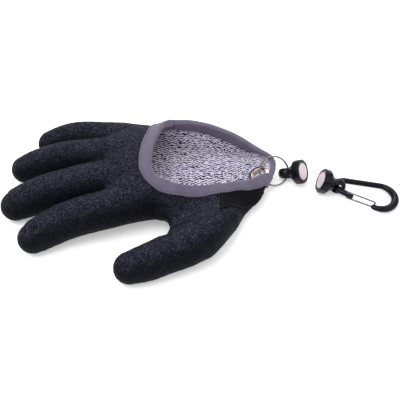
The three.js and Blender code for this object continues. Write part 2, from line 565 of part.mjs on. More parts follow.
// wire gate, local frame: pivot at the origin, plane of the hook
const reach = catchPoint.clone().sub(pivot);
const pivotHalf = HOOK_ROD / 2 + CLEARANCE + GATE_WIRE / 2;
const noseLegHalf = noseHalf + CLEARANCE + GATE_WIRE / 2 + 0.25;
function gatePath() {
  const corners = [
    new THREE.Vector3(0, 0, pivotHalf - 2.4), new THREE.Vector3(0, 0, pivotHalf),
    reach.clone().setZ(noseLegHalf), reach.clone().setZ(-noseLegHalf),
    new THREE.Vector3(0, 0, -pivotHalf), new THREE.Vector3(0, 0, -pivotHalf + 2.4),
  ];
  const bend = 1.1;
  const points = [corners[0]];
  for (let i = 1; i + 1 < corners.length; i += 1) {
    const back = corners[i - 1].clone().sub(corners[i]).normalize().multiplyScalar(bend);
    const on = corners[i + 1].clone().sub(corners[i]).normalize().multiplyScalar(bend);
    const from = corners[i].clone().add(back);
    const to = corners[i].clone().add(on);
    for (const t of [0, 0.33, 0.67, 1]) {
      const p = from.clone().multiplyScalar((1 - t) ** 2).addScaledVector(corners[i], 2 * t * (1 - t));
      points.push(p.addScaledVector(to, t * t));
    }
  }
  points.push(corners[corners.length - 1]);
  return points;
}
function wireSolid(points, radius, sides) {
  const side = new THREE.Vector3(-reach.y, reach.x, 0).normalize();
  const rings = points.map((centre, i) => {
    const before = points[Math.max(i - 1, 0)];
    const after = points[Math.min(i + 1, points.length - 1)];
    const along = after.clone().sub(before).normalize();
    const across = side.clone().addScaledVector(along, -side.dot(along)).normalize();
    const up = new THREE.Vector3().crossVectors(along, across);
    return ring(centre, across, up, radius, radius, sides);
  });
  return loft(rings);
}
const gateLocal = wireSolid(gatePath(), GATE_WIRE / 2, 6);

// Scene graph
const glove = new THREE.Group();
glove.add(
  meshOf('latex_palm', coatingBack, LATEX),
  meshOf('latex_fingers', coatingFront, LATEX),
  meshOf('knit_liner', liner, MELANGE),
  meshOf('rim_binding', band, WEBBING),
  meshOf('side_label', label, WOVEN),
  meshOf('grommet', eyelet, NICKEL),
  meshOf('split_ring', splitRing, STEEL),
  meshOf('holder_glove_side', holderSolid(gloveHolder), PLASTIC),
  meshOf('magnet_glove_side', magnetSolid(gloveHolder), PLATED),
  meshOf('holder_line_side', holderSolid(lineHolder), PLASTIC),
  meshOf('magnet_line_side', magnetSolid(lineHolder), PLATED),
);
const hook = new THREE.Group();
hook.quaternion.setFromRotationMatrix(hookTurn);
hook.position.copy(hookOrigin);
hook.add(meshOf('carabiner_body', hookLocal, ANODISED));
const gate = meshOf('wire_gate', gateLocal, STEEL);
gate.position.copy(pivot);
hook.add(gate);
glove.add(hook);

const assembly = new THREE.Group();
assembly.add(glove);
assembly.updateMatrixWorld(true);
const box = new THREE.Box3().setFromObject(assembly, true);
const centre = box.getCenter(new THREE.Vector3());
glove.position.set(-centre.x, -centre.y, -box.min.z);

export default assembly;
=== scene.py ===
"""Landing glove with a magnetic release, dressed for the look. Millimetres until a mesh is made."""
import math

import bpy
import bmesh
import numpy as np
from mathutils import Matrix, Vector, noise


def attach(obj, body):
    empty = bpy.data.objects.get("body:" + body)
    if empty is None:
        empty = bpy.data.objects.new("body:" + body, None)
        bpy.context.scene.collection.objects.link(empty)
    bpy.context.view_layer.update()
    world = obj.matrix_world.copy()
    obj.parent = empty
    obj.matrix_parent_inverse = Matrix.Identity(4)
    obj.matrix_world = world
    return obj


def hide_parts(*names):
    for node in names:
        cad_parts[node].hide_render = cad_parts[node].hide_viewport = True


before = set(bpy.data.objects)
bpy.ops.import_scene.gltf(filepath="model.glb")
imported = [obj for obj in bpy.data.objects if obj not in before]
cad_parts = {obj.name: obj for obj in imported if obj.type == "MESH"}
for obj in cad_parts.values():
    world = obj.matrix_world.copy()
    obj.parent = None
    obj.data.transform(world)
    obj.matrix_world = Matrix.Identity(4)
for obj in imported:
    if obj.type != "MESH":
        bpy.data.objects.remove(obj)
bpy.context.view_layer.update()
MM = 0.001
SHIFT = np.array([61.1735, 10.8897, -0.1517])  # from the wrist tip's frame to the CAD frame


def in_scene(name, data):
    obj = bpy.data.objects.new(name, data)
    bpy.context.scene.collection.objects.link(obj)
    return obj


# camera: it looks at a point near the wrist
VIEW_HEIGHT = math.radians(48)
VIEW_POINT = Vector((-2.33, 10.89, -0.15)) * MM
VIEW_DISTANCE = 0.6
VIEW_FOCUS, PICTURE_MIDDLE = 720, 200  # pixels of the 400 pixel picture
camera = in_scene("camera", bpy.data.cameras.new("camera"))
camera.data.lens = 64.8
camera.data.sensor_width = 36
camera.location = VIEW_POINT + VIEW_DISTANCE * Vector((0, -math.cos(VIEW_HEIGHT), math.sin(VIEW_HEIGHT)))
camera.rotation_euler = (math.pi / 2 - VIEW_HEIGHT, 0, 0)
bpy.context.scene.camera = camera

# sizes, as in the CAD source
PALM_LENGTH, PALM_WIDTH, PALM_HEIGHT = 139.5, 115, 53
COATING, KNIT, PLY_GAP = 1.1, 1.2, 0.3
WALL = COATING + PLY_GAP + KNIT
BAND_WIDTH, BAND_THICKNESS = 10, 1.1
LABEL_THICKNESS = 0.6
EYELET_HOLE, EYELET_FLANGE, EYELET_PLATE = 10, 18.5, 0.6
SPLIT_RING, SPLIT_RING_WIRE, SPLIT_RING_HEIGHT = 26, 1.4, 1.9
HOLDER_DIAMETER, HOLDER_LENGTH, HOLDER_CUP = 21, 22.3, 7
LUG_DIAMETER, LUG_HOLE = 12.6, 7.6
MAGNET_DIAMETER, MAGNET_HEIGHT = 14, 3
HOOK_LENGTH, HOOK_ROD, HOOK_ROD_WIDE, HOOK_BIG_RADIUS, HOOK_SMALL_RADIUS = 55, 4.8, 6.4, 12.8, 6.6
GATE_WIRE, STUB_LENGTH, CLEARANCE = 1.5, 11, 0.3

# along, near, crest, far, middle, crown, floor, nearPower, farPower, lean
PALM = np.array([
    [1.030, 0.020, 0.200, 0.340, 0.410, 0.490, 0.345, 2.2, 2.2, 0.00],
    [1.005, -0.080, 0.200, 0.440, 0.412, 0.600, 0.262, 2.2, 2.2, 0.00],
    [0.965, -0.190, 0.185, 0.495, 0.412, 0.705, 0.151, 2.2, 2.2, 0.00],
    [0.914, -0.270, 0.157, 0.504, 0.396, 0.774, 0.094, 2.3, 2.4, 0.00],
    [0.814, -0.278, 0.139, 0.500, 0.377, 0.830, 0.038, 2.3, 2.6, 0.00],
    [0.713, -0.278, 0.148, 0.483, 0.358, 0.858, 0.019, 2.1, 2.9, 0.03],
    [0.660, -0.325, 0.168, 0.477, 0.340, 0.900, 0.008, 1.8, 3.2, 0.06],
    [0.613, -0.380, 0.191, 0.470, 0.321, 0.943, 0.000, 1.6, 3.6, 0.08],
    [0.513, -0.435, 0.226, 0.461, 0.283, 1.000, 0.000, 1.25, 4.0, 0.11],
    [0.405, -0.496, 0.243, 0.452, 0.245, 1.000, 0.000, 1.15, 4.0, 0.12],
    [0.326, -0.400, 0.243, 0.435, 0.226, 0.943, 0.000, 1.15, 4.0, 0.12],
    [0.254, -0.300, 0.243, 0.413, 0.208, 0.868, 0.000, 1.2, 4.0, 0.12],
    [0.183, -0.178, 0.243, 0.387, 0.170, 0.755, 0.028, 1.3, 3.6, 0.12],
    [0.111, -0.083, 0.243, 0.365, 0.224, 0.604, 0.120, 1.6, 3.2, 0.10],
    [0.061, 0.033, 0.243, 0.352, 0.277, 0.491, 0.173, 1.8, 2.8, 0.08],
    [0.025, 0.118, 0.243, 0.328, 0.302, 0.445, 0.198, 2.0, 2.4, 0.05],
    [0.000, 0.172, 0.246, 0.292, 0.310, 0.418, 0.206, 2.0, 2.2, 0.00],
])
# length, radius, root, heading, then along, side, height, girth
FINGERS = [
    (106.8, 15.8, (0.739, -0.172), -19.5, [
        (-0.040, 0.030, 0.415, 0.800), (0.149, 0.017, 0.425, 0.985), (0.330, 0.013, 0.425, 0.972),
        (0.481, 0.022, 0.406, 0.959), (0.626, 0.031, 0.358, 0.932), (0.753, 0.025, 0.302, 0.896),
        (0.847, 0.012, 0.260, 0.840), (0.887, 0.000, 0.245, 0.760)]),
    (109.7, 15.9, (0.834, 0.040), -13.2, [
        (0.020, 0.000, 0.440, 0.920), (0.295, 0.022, 0.453, 0.960), (0.514, 0.023, 0.415, 0.930),
        (0.668, 0.028, 0.349, 0.925), (0.783, 0.019, 0.292, 0.894), (0.859, 0.010, 0.257, 0.833),
        (0.892, 0.000, 0.238, 0.751)]),
    (104.4, 15.4, (0.844, 0.242), -2.2, [
        (0.000, 0.000, 0.453, 0.920), (0.144, 0.017, 0.453, 0.974), (0.345, 0.024, 0.443, 0.921),
        (0.539, 0.028, 0.406, 0.895), (0.687, 0.022, 0.340, 0.871), (0.804, 0.015, 0.274, 0.819),
        (0.892, 0.000, 0.219, 0.733)]),
    (89.8, 14.5, (0.823, 0.406), 6.2, [
        (-0.020, 0.010, 0.400, 0.900), (0.180, 0.034, 0.396, 0.976), (0.395, 0.041, 0.396, 0.907),
        (0.573, 0.041, 0.377, 0.892), (0.693, 0.037, 0.330, 0.866), (0.793, 0.019, 0.274, 0.838),
        (0.872, 0.000, 0.223, 0.792)]),
    (85.6, 15.7, (0.378, -0.374), -30, [
        (-0.130, 0.045, 0.330, 0.700), (0.164, -0.067, 0.368, 0.983), (0.315, -0.082, 0.340, 1.000),
        (0.509, -0.058, 0.302, 0.947), (0.701, -0.035, 0.264, 0.899), (0.855, 0.000, 0.236, 0.787)]),
]
# along, side, lie
OPENING_EDGE = np.array([
    (0.570, 0.760, 1.00), (0.608, 0.500, 1.00), (0.655, 0.455, 1.00), (0.682, 0.383, 1.00),
    (0.698, 0.296, 1.00), (0.713, 0.224, 1.00), (0.725, 0.150, 1.00), (0.733, 0.060, 1.00),
    (0.728, -0.032, 1.00), (0.702, -0.087, 1.00), (0.667, -0.123, 1.00), (0.610, -0.148, 1.00),
    (0.483, -0.146, 1.00), (0.399, -0.133, 0.98), (0.313, -0.090, 0.92), (0.226, -0.036, 0.84),
    (0.135, 0.020, 0.74), (0.072, 0.085, 0.58), (0.004, 0.134, 0.55), (-0.190, 0.200, 0.55),
    (-0.190, 0.760, 1.00),
])
# along, height
OPENING_HEIGHT = np.array([
    (0.900, 0.783), (0.635, 0.776), (0.577, 0.753), (0.515, 0.742), (0.455, 0.711), (0.364, 0.652),
    (0.276, 0.594), (0.211, 0.542), (0.151, 0.470), (0.090, 0.394), (0.040, 0.343), (-0.190, 0.320),
])
OPENING_TILT, OPENING_TILT_FROM = 0.16, 0.435 * PALM_WIDTH


# distance field of the hand form
def mono(xs, ys, x):
    """Cubic through a table's column that keeps its rises and falls."""
    h = np.diff(xs)
    slope = np.diff(ys) / h
    m = np.zeros_like(ys)
    both = slope[:-1] + slope[1:]
    both = np.where(np.abs(both) < 1e-9, 1, both)
    m[1:-1] = np.where(slope[:-1] * slope[1:] > 0, 2 * slope[:-1] * slope[1:] / both, 0)
    m[0], m[-1] = slope[0], slope[-1]
    x = np.clip(x, xs[0], xs[-1])
    i = np.clip(np.searchsorted(xs, x) - 1, 0, len(h) - 1)
    t = (x - xs[i]) / h[i]
    return ((1 + 2 * t) * (1 - t) ** 2 * ys[i] + t * (1 - t) ** 2 * h[i] * m[i]
            + t * t * (3 - 2 * t) * ys[i + 1] + t * t * (t - 1) * h[i] * m[i + 1])


def smin(a, b, k):
    """The lower of two fields, blended over k mm."""
    h = np.clip(k - np.abs(a - b), 0, None) / k
    return np.minimum(a, b) - h ** 2 * k * 0.25


def smax(a, b, k):
    return -smin(-a, -b, k)


# power of the palm's oval below its middle, share of its plain core, then blends in mm
LOWER_POWER, CORE, END_BLEND, EDGE_BLEND = 2.8, 0.3, 5.0, 2.0
FIELD_LOW, FIELD_HIGH, FINGER_STATIONS = -30, 60, 20
PALM_X = -PALM[:, 0] * PALM_LENGTH
PALM_COLUMNS = [PALM[:, i] * (PALM_WIDTH if i < 4 else PALM_HEIGHT if i < 7 else 1) for i in range(1, 10)]


def palm(P):
    x, y, z = P[..., 0], P[..., 1], P[..., 2]
    near, crest, far, middle, crown, floor, near_power, far_power, lean = (
        mono(PALM_X, c, x) for c in PALM_COLUMNS)
    dz = z - middle
    dy = y - crest - lean * dz
    ay = np.where(dy < 0, crest - near, far - crest)
    az = np.where(dz > 0, crown - middle, middle - floor)
    n = np.where(dz > 0, np.where(dy < 0, near_power, far_power), LOWER_POWER)
    u = np.abs(dy) / ay + 1e-6
    v = np.abs(dz) / az + 1e-6
    rho = (u ** n + v ** n) ** (1 / n)
    g = np.sqrt((u ** (n - 1) / ay) ** 2 + (v ** (n - 1) / az) ** 2) * rho ** (1 - n)
    d = np.where(rho > CORE, (rho - 1) / np.maximum(g, 1e-4), (rho - 1) * np.minimum(ay, az))
    end = np.maximum(PALM_X[0] - x, x - PALM_X[-1])
    return np.clip(smax(d, end, END_BLEND), FIELD_LOW, FIELD_HIGH)


def finger_segments(finger):
    length, radius, root, heading, sections = finger
    turn = math.radians(heading)
    ahead = np.array([-math.cos(turn), math.sin(turn), 0])
    aside = np.array([math.sin(turn), math.cos(turn), 0])
    start = np.array([-root[0] * PALM_LENGTH, root[1] * PALM_WIDTH, 0])
    rows = np.array([np.append(start + length * (a * ahead + s * aside) + (0, 0, h * PALM_HEIGHT), g * radius)
                     for a, s, h, g in sections])
    run = np.concatenate([[0], np.cumsum(np.linalg.norm(np.diff(rows[:, :3], axis=0), axis=1))])
    at = np.linspace(0, run[-1], FINGER_STATIONS)
    return np.stack([mono(run, rows[:, i], at) for i in range(4)], 1)


FINGER_CHAINS = [finger_segments(f) for f in FINGERS]


def finger(P, rows):
    best = np.full(P.shape[:-1], float(FIELD_HIGH))
    for a, b in zip(rows[:-1], rows[1:]):
        ab = b[:3] - a[:3]
        t = np.clip(((P - a[:3]) @ ab) / (ab @ ab), 0, 1)
        away = np.linalg.norm(P - (a[:3] + t[..., None] * ab), axis=-1)
        best = np.minimum(best, away - (a[3] + t * (b[3] - a[3])))
    return best


# form at the root of the thumb: a ball fills the corner, a bore along the line of sight rounds the gap
WEB_RADIUS, WEB_BALL = 4.6, 5.5
WEB_PIXEL, WEB_BALL_PIXEL = (163.4, 226.9), (173.5, 231.5)
WEB_BALL_HEIGHT, WEB_TOP = 15, 30
FINGER_BLEND, KNUCKLE_BLEND, THUMB_BLEND, BALL_BLEND, BORE_BLEND = 2.5, 8, 16, 6, 4.5


def seen_at(px, py, height):
    """The point of a height, mm, that the camera sees at a place of the picture."""
    right, rise = (px - PICTURE_MIDDLE) / VIEW_FOCUS, (PICTURE_MIDDLE - py) / VIEW_FOCUS
    c, k = math.cos(VIEW_HEIGHT), math.sin(VIEW_HEIGHT)
    ray = np.array([right, c + rise * k, rise * c - k])
    start = np.array(VIEW_POINT) / MM + VIEW_DISTANCE / MM * np.array([0, -c, k]) - SHIFT
    return start + ray * (height - start[2]) / ray[2]


web_low = seen_at(*WEB_PIXEL, 0)
web_slant = seen_at(*WEB_PIXEL, WEB_TOP) - web_low
web_slant = web_slant / np.linalg.norm(web_slant)
web_ball = seen_at(*WEB_BALL_PIXEL, WEB_BALL_HEIGHT)


def union(parts, palm_part, P):
    four = parts[0]
    for d in parts[1:4]:
        four = smin(four, d, FINGER_BLEND)
    body = smin(smin(palm_part, four, KNUCKLE_BLEND), parts[4], THUMB_BLEND)
    body = smin(body, np.linalg.norm(P - web_ball, axis=-1) - WEB_BALL, BALL_BLEND)
    aside = P - web_low
    aside = aside - (aside @ web_slant)[..., None] * web_slant
    return smax(body, WEB_RADIUS - np.linalg.norm(aside, axis=-1), BORE_BLEND)


def hand(P):
    return union([finger(P, rows) for rows in FINGER_CHAINS], palm(P), P)


FIELD_STEP = 0.25


def gradient(f, P):
    """Unit vectors out of a form."""
    g = np.stack([f(P + e) - f(P - e) for e in np.eye(3) * FIELD_STEP], -1)
    return g / (np.linalg.norm(g, axis=-1, keepdims=True) + 1e-9)


def onto(f, P, times):
    """Points moved on to the surface of a form."""
    for _ in range(times):
        g = np.stack([f(P + e) - f(P - e) for e in np.eye(3) * FIELD_STEP], -1) / (2 * FIELD_STEP)
        P = P - g * (f(P) / (np.sum(g * g, -1) + 1e-6))[..., None]
    return P


def opening(P):
    """Below 0 over the opening; outside it about the distance from its edge."""
    x, y, z = P[..., 0], P[..., 1], P[..., 2]
    q = P[..., :2]
    line = np.stack([-OPENING_EDGE[:, 0] * PALM_LENGTH, OPENING_EDGE[:, 1] * PALM_WIDTH], 1)
    best = np.full(x.shape, 1e9)
    lie = np.ones(x.shape)
    inside = np.zeros(x.shape, bool)
    for i in range(len(line)):
        j = (i + 1) % len(line)
        a, b = line[i], line[j]
        t = np.clip(((q - a) @ (b - a)) / ((b - a) @ (b - a)), 0, 1)
        d = np.linalg.norm(q - (a + t[..., None] * (b - a)), axis=-1)
        lie = np.where(d < best, OPENING_EDGE[i, 2] + t * (OPENING_EDGE[j, 2] - OPENING_EDGE[i, 2]), lie)
        best = np.minimum(best, d)
        crossing = (a[1] > y) != (b[1] > y)
        at = a[0] + (y - a[1]) * (b[0] - a[0]) / (b[1] - a[1] if b[1] != a[1] else 1)
        inside ^= crossing & (x < at)
    aside = np.where(inside, -best, best) / lie
    edge = mono(-OPENING_HEIGHT[:, 0] * PALM_LENGTH, OPENING_HEIGHT[:, 1] * PALM_HEIGHT, x)
    below = edge + OPENING_TILT * (y - OPENING_TILT_FROM) - z
    return smax(aside, below, EDGE_BLEND)


def reach_out(form, hub, rays, far, level, times):
    """How far each ray runs from the hub before it leaves a form."""
    inside, outside = np.zeros(rays.shape[:-1]), np.full(rays.shape[:-1], far)
    for _ in range(times):
        half = (inside + outside) / 2
        out = form(hub + half[..., None] * rays) > level
        outside = np.where(out, half, outside)
        inside = np.where(out, inside, half)
    return inside


def smoothed(values, times, axis=0):
    """Values round a closed line, evened out."""
    for _ in range(times):
        values = 0.5 * values + 0.25 * (np.roll(values, 1, axis) + np.roll(values, -1, axis))
    return values


def smooth_step(share):
    return share ** 2 * (3 - 2 * share)


def surface_nets(V, origin, h):
    """Quads on the zero level of a grid of values."""
    inside = V < 0
    total = np.zeros([n - 1 for n in V.shape] + [3])
    count = np.zeros([n - 1 for n in V.shape])
    quads = []
    for axis in range(3):
        first = [slice(None)] * 3
        second = [slice(None)] * 3
        first[axis], second[axis] = slice(0, -1), slice(1, None)
        a, b = V[tuple(first)], V[tuple(second)]
        o1, o2 = (axis + 1) % 3, (axis + 2) % 3
        at = np.argwhere(inside[tuple(first)] != inside[tuple(second)])
        for other in (o1, o2):
            at = at[(at[:, other] > 0) & (at[:, other] < V.shape[other] - 1)]
        va, vb = a[tuple(at.T)], b[tuple(at.T)]
        point = at.astype(float)
        point[:, axis] += va / (va - vb)
        cells = []
        for d1, d2 in ((0, 0), (1, 0), (1, 1), (0, 1)):
            cell = at.copy()
            cell[:, o1] -= d1
            cell[:, o2] -= d2
            np.add.at(total, tuple(cell.T), point)
            np.add.at(count, tuple(cell.T), 1)
            cells.append(np.ravel_multi_index(tuple(cell.T), count.shape))
        q = np.stack(cells, 1)
        q[va > 0] = q[va > 0][:, ::-1]
        quads.append(q)
    used = np.flatnonzero(count.ravel() > 0)
    number = np.full(count.size, -1)
    number[used] = np.arange(len(used))
    points = total.reshape(-1, 3)[used] / count.ravel()[used][:, None]
    return points * h + origin, number[np.concatenate(quads)]


# materials
class Nodes:
    """Short way to write a node tree."""

    def __init__(self, tree):
        self.tree = tree

    def add(self, kind, inputs=None, **settings):
        node = self.tree.nodes.new(kind)
        for key, value in settings.items():
            setattr(node, key, value)
        for key, value in (inputs or {}).items():
            if isinstance(value, bpy.types.NodeSocket):
                self.tree.links.new(value, node.inputs[key])
            else:
                node.inputs[key].default_value = value
        return node

    def link(self, value, socket):
        self.tree.links.new(value, socket)

    def math(self, operation, a, b=0.0, c=0.0):
        return self.add("ShaderNodeMath", {0: a, 1: b, 2: c}, operation=operation).outputs[0]

    def noise(self, vector, scale, detail=2.0, roughness=0.5, distortion=0.0):
        inputs = {"Vector": vector, "Scale": scale, "Detail": detail, "Roughness": roughness,
                  "Distortion": distortion}
        return self.add("ShaderNodeTexNoise", inputs).outputs["Fac"]

    def ramp(self, value, low, high, to_low=0.0, to_high=1.0):
        inputs = {0: value, 1: low, 2: high, 3: to_low, 4: to_high}
        return self.add("ShaderNodeMapRange", inputs, interpolation_type="SMOOTHSTEP").outputs[0]

    def mix(self, factor, a, b):
        node = self.add("ShaderNodeMix", {0: factor}, data_type="RGBA")
        for key, value in ((6, a), (7, b)):
            if isinstance(value, bpy.types.NodeSocket):
                self.tree.links.new(value, node.inputs[key])
            else:
                node.inputs[key].default_value = (*value, 1)
        return node.outputs[2]

    def bump(self, height, strength, distance, normal=None):
        inputs = {"Height": height, "Strength": strength, "Distance": distance}
        if normal:
            inputs["Normal"] = normal
        return self.add("ShaderNodeBump", inputs).outputs["Normal"]


def group(name, inputs, outputs):
    tree = bpy.data.node_groups.new(name, "ShaderNodeTree")
    for label, kind, value in inputs:
        socket = tree.interface.new_socket(label, in_out="INPUT", socket_type=kind)
        if value is not None:
            socket.default_value = value
    for label, kind in outputs:
        tree.interface.new_socket(label, in_out="OUTPUT", socket_type=kind)
    n = Nodes(tree)
    return n, tree.nodes.new("NodeGroupInput").outputs, tree.nodes.new("NodeGroupOutput").inputs


def grain_group():
    """Uneven fine grain: a mask and a height, on coordinates in metres."""
    n, given, out = group("fine_grain", [
        ("Vector", "NodeSocketVector", None), ("Scale", "NodeSocketFloat", 1000.0),
        ("Patch", "NodeSocketFloat", 60.0)], [("Mask", "NodeSocketFloat"), ("Height", "NodeSocketFloat")])
    fine = n.noise(given["Vector"], given["Scale"], 3.0, 0.65)
    patch = n.noise(given["Vector"], given["Patch"], 3.0, 0.6)
    both = n.math("MULTIPLY_ADD", patch, 0.35, n.math("MULTIPLY", fine, 0.8))
    n.link(n.ramp(both, 0.46, 0.74), out["Mask"])
    n.link(n.math("MULTIPLY_ADD", patch, 0.3, fine), out["Height"])
    return n.tree


GRAIN = grain_group()


def grain(n, vector, scale, patch):
    node = n.add("ShaderNodeGroup", {}, node_tree=GRAIN)
    n.link(vector, node.inputs["Vector"])
    node.inputs["Scale"].default_value = scale
    node.inputs["Patch"].default_value = patch
    return node.outputs


def material(name, **constants):
    """A material with its Principled shader and object coordinates."""
    m = bpy.data.materials.new(name)
    m.use_nodes = True
    n = Nodes(m.node_tree)
    shader = m.node_tree.nodes["Principled BSDF"]
    for key, value in constants.items():
        shader.inputs[key.replace("_", " ")].default_value = value
    place = n.add("ShaderNodeTexCoord").outputs["Object"]
    return m, n, shader.inputs, place


def flow_axes(n):
    """The piece's own directions along, across and up, in metres."""
    flow = n.add("ShaderNodeAttribute", {}, attribute_name="flow").outputs["Vector"]
    return flow, n.add("ShaderNodeSeparateXYZ", {0: flow}).outputs


def wave_of(n, value, pitch):
    return n.math("SINE", n.math("MULTIPLY", value, 2 * math.pi / pitch))


def latex_material():
    m, n, shader, place = material("latex", Roughness=0.62, Specular_IOR_Level=0.05)
    spots = grain(n, place, 760.0, 190.0)
    fine = n.ramp(n.noise(place, 900.0, 2.0, 0.6), 0.53, 0.62)
    light = n.math("MULTIPLY_ADD", fine, 0.6, n.math("MULTIPLY", spots["Mask"], 0.4))
    # painted shade: the lighter speckle is dimmed where the hand's form turns down and away from the light
    # above and behind
    painted_shade_facing = n.add("ShaderNodeVectorMath", {0: n.add("ShaderNodeNewGeometry").outputs["Normal"],
                                            1: (-0.15, 0.45, 0.88)}, operation="DOT_PRODUCT").outputs["Value"]
    light = n.math("MULTIPLY", light, n.ramp(painted_shade_facing, 0.0, 0.95, 0.2, 1.0))
    broad = n.ramp(n.noise(place, 26.0, 3.0), 0.3, 0.7)
    base = n.mix(broad, (0.0010, 0.0011, 0.0026), (0.0018, 0.0020, 0.0042))
    n.link(n.mix(light, base, (0.050, 0.051, 0.080)), shader["Base Color"])
    wrinkles = n.noise(place, 240.0, 4.0, 0.6, 0.6)
    normal = n.bump(wrinkles, 0.55, 0.0011)
    n.link(n.bump(spots["Height"], 0.9, 0.00062, normal), shader["Normal"])
    return m


def knit_material():
    m, n, shader, place = material("knit", Roughness=0.93, Specular_IOR_Level=0.2)
    flow, axes = flow_axes(n)
    wander = n.noise(flow, 170.0, 2.0, 0.5)
    wander = n.math("MULTIPLY_ADD", wander, 0.0072, -0.0036)
    pitch, course = 0.0050, 0.0028
    across = n.math("DIVIDE", n.math("ADD", axes["X"], wander), pitch)
    leg = n.math("ABSOLUTE", n.math("SUBTRACT", n.math("FRACT", across), 0.5))
    along = n.math("DIVIDE", n.math("MULTIPLY_ADD", wander, 0.6, axes["Y"]), course)
    wave = n.math("SINE", n.math("MULTIPLY", n.math("MULTIPLY_ADD", leg, 1.25, along), 2 * math.pi))
    blotch = n.noise(flow, 440.0, 2.0, 0.5, 0.7)
    field = n.math("MULTIPLY_ADD", wave, 0.165, blotch)
    spread = n.ramp(n.noise(flow, 30.0, 2.0), 0.35, 0.65, -0.03, 0.03)
    dark = n.ramp(n.math("ADD", field, spread), 0.515, 0.560)
    fuzz = n.noise(place, 2600.0, 2.0)
    lilac = n.mix(fuzz, (0.44, 0.41, 0.52), (0.78, 0.75, 0.90))
    n.link(n.mix(dark, lilac, (0.014, 0.012, 0.024)), shader["Base Color"])
    height = n.math("SUBTRACT", n.math("MULTIPLY_ADD", wave, 0.5, fuzz), n.math("MULTIPLY", dark, 0.8))
    n.link(n.bump(height, 0.6, 0.0004), shader["Normal"])
    return m


def webbing_material():
    m, n, shader, place = material("webbing", Roughness=0.86, Specular_IOR_Level=0.25)
    shader["Sheen Weight"].default_value = 0.25
    shader["Sheen Roughness"].default_value = 0.5
    flow, axes = flow_axes(n)
    rib = wave_of(n, axes["X"], 0.0011)
    pick = wave_of(n, axes["Y"], 0.0008)
    weave = n.math("MULTIPLY_ADD", pick, 0.35, rib)
    patch = n.ramp(n.noise(place, 120.0, 4.0, 0.6), 0.3, 0.7)
    fine = n.noise(place, 2200.0, 2.0)
    base = n.mix(patch, (0.074, 0.064, 0.103), (0.097, 0.084, 0.130))
    worn = n.ramp(n.math("MULTIPLY_ADD", weave, 0.12, fine), 0.3, 0.7, 0.0, 0.35)
    base = n.mix(worn, base, (0.150, 0.133, 0.188))
    # a little darker at its raw edge
    edge = n.ramp(axes["Z"], 0.0082, 0.0098, 0.0, 0.5)
    n.link(n.mix(edge, base, (0.095, 0.078, 0.115)), shader["Base Color"])
    n.link(n.bump(n.math("MULTIPLY_ADD", fine, 0.8, weave), 0.45, 0.00022), shader["Normal"])
    return m


THREAD_BUMP = 0.00015


def thread_material(name, colour):
    m, n, shader, place = material(name, Roughness=0.7, Specular_IOR_Level=0.35)
    twist = n.noise(place, 2800.0, 2.0, 0.5, 1.0)
    dark = tuple(0.55 * c for c in colour)
    n.link(n.mix(n.ramp(twist, 0.35, 0.65), dark, colour), shader["Base Color"])
    n.link(n.bump(twist, 0.5, THREAD_BUMP), shader["Normal"])
    return m


def label_material():
    m, n, shader, place = material("woven_label", Roughness=0.75, Specular_IOR_Level=0.08)
    flow, axes = flow_axes(n)
    warp = wave_of(n, axes["X"], 0.0009)
    weft = wave_of(n, axes["Y"], 0.0007)
    weave = n.math("MULTIPLY", warp, weft)
    fuzz = n.noise(place, 1800.0, 3.0)
    mask = n.ramp(n.math("MULTIPLY_ADD", weave, 0.18, fuzz), 0.35, 0.75)
    n.link(n.mix(mask, (0.001, 0.001, 0.0015), (0.0055, 0.005, 0.0075)), shader["Base Color"])
    n.link(n.bump(weave, 0.5, 0.0002), shader["Normal"])
    return m


def metal_material(name, colour, roughness, stain, stain_share=0.5, metallic=1.0):
    m, n, shader, place = material(name, Metallic=metallic)
    smudge = n.ramp(n.noise(place, 260.0, 4.0, 0.6), 0.35, 0.7)
    drawn_out = n.add("ShaderNodeMapping", {"Vector": place, "Scale": (1, 9, 1)}).outputs[0]
    scratch = n.noise(drawn_out, 900.0, 2.0)
    n.link(n.mix(n.math("MULTIPLY", smudge, stain_share), colour, stain), shader["Base Color"])
    rough = n.math("MULTIPLY_ADD", smudge, 0.12, n.math("MULTIPLY_ADD", scratch, 0.08, roughness))
    n.link(rough, shader["Roughness"])
    n.link(n.bump(scratch, 0.12, 0.00006), shader["Normal"])
    return m


def moulded_material(name, colour, light, roughness, coat=0.0, metallic=0.0):
    m, n, shader, place = material(name, Metallic=metallic, Coat_Weight=coat, Coat_Roughness=0.18,
                                   Specular_IOR_Level=0.15)
    spots = grain(n, place, 1500.0, 180.0)
    n.link(n.mix(n.math("MULTIPLY", spots["Mask"], 0.4), colour, light), shader["Base Color"])
    n.link(n.math("MULTIPLY_ADD", spots["Mask"], 0.12, roughness), shader["Roughness"])
    n.link(n.bump(spots["Height"], 0.18, 0.0001), shader["Normal"])
    return m


LATEX = latex_material()
KNITTED = knit_material()
WEBBING = webbing_material()
LABEL_CLOTH = label_material()
THREAD = thread_material("binding_thread", (0.125, 0.108, 0.160))
DARK_THREAD = thread_material("label_thread", (0.020, 0.019, 0.026))
SEAM_THREAD = thread_material("lap_thread", (0.022, 0.019, 0.032))
NICKEL = metal_material("nickel", (0.56, 0.46, 0.47), 0.14, (0.13, 0.08, 0.085), 0.85)
STEEL = metal_material("steel", (0.22, 0.20, 0.22), 0.16, (0.07, 0.065, 0.07), 0.7)
PLATED = metal_material("plated_magnet", (0.68, 0.575, 0.62), 0.42, (0.61, 0.50, 0.555), 0.5, 0.4)
PLASTIC = moulded_material("black_plastic", (0.0025, 0.0022, 0.0048), (0.007, 0.006, 0.012), 0.2)
ANODISED = moulded_material("anodised", (0.0022, 0.0018, 0.0055), (0.006, 0.005, 0.013), 0.2)


# making pieces
def mesh_of(name, points, edges, faces):
    """A mesh at the origin from points in the wrist tip's frame, mm."""
    mesh = bpy.data.meshes.new(name)
    mesh.from_pydata(((np.asarray(points) + SHIFT) * MM).tolist(), edges, faces)
    return mesh


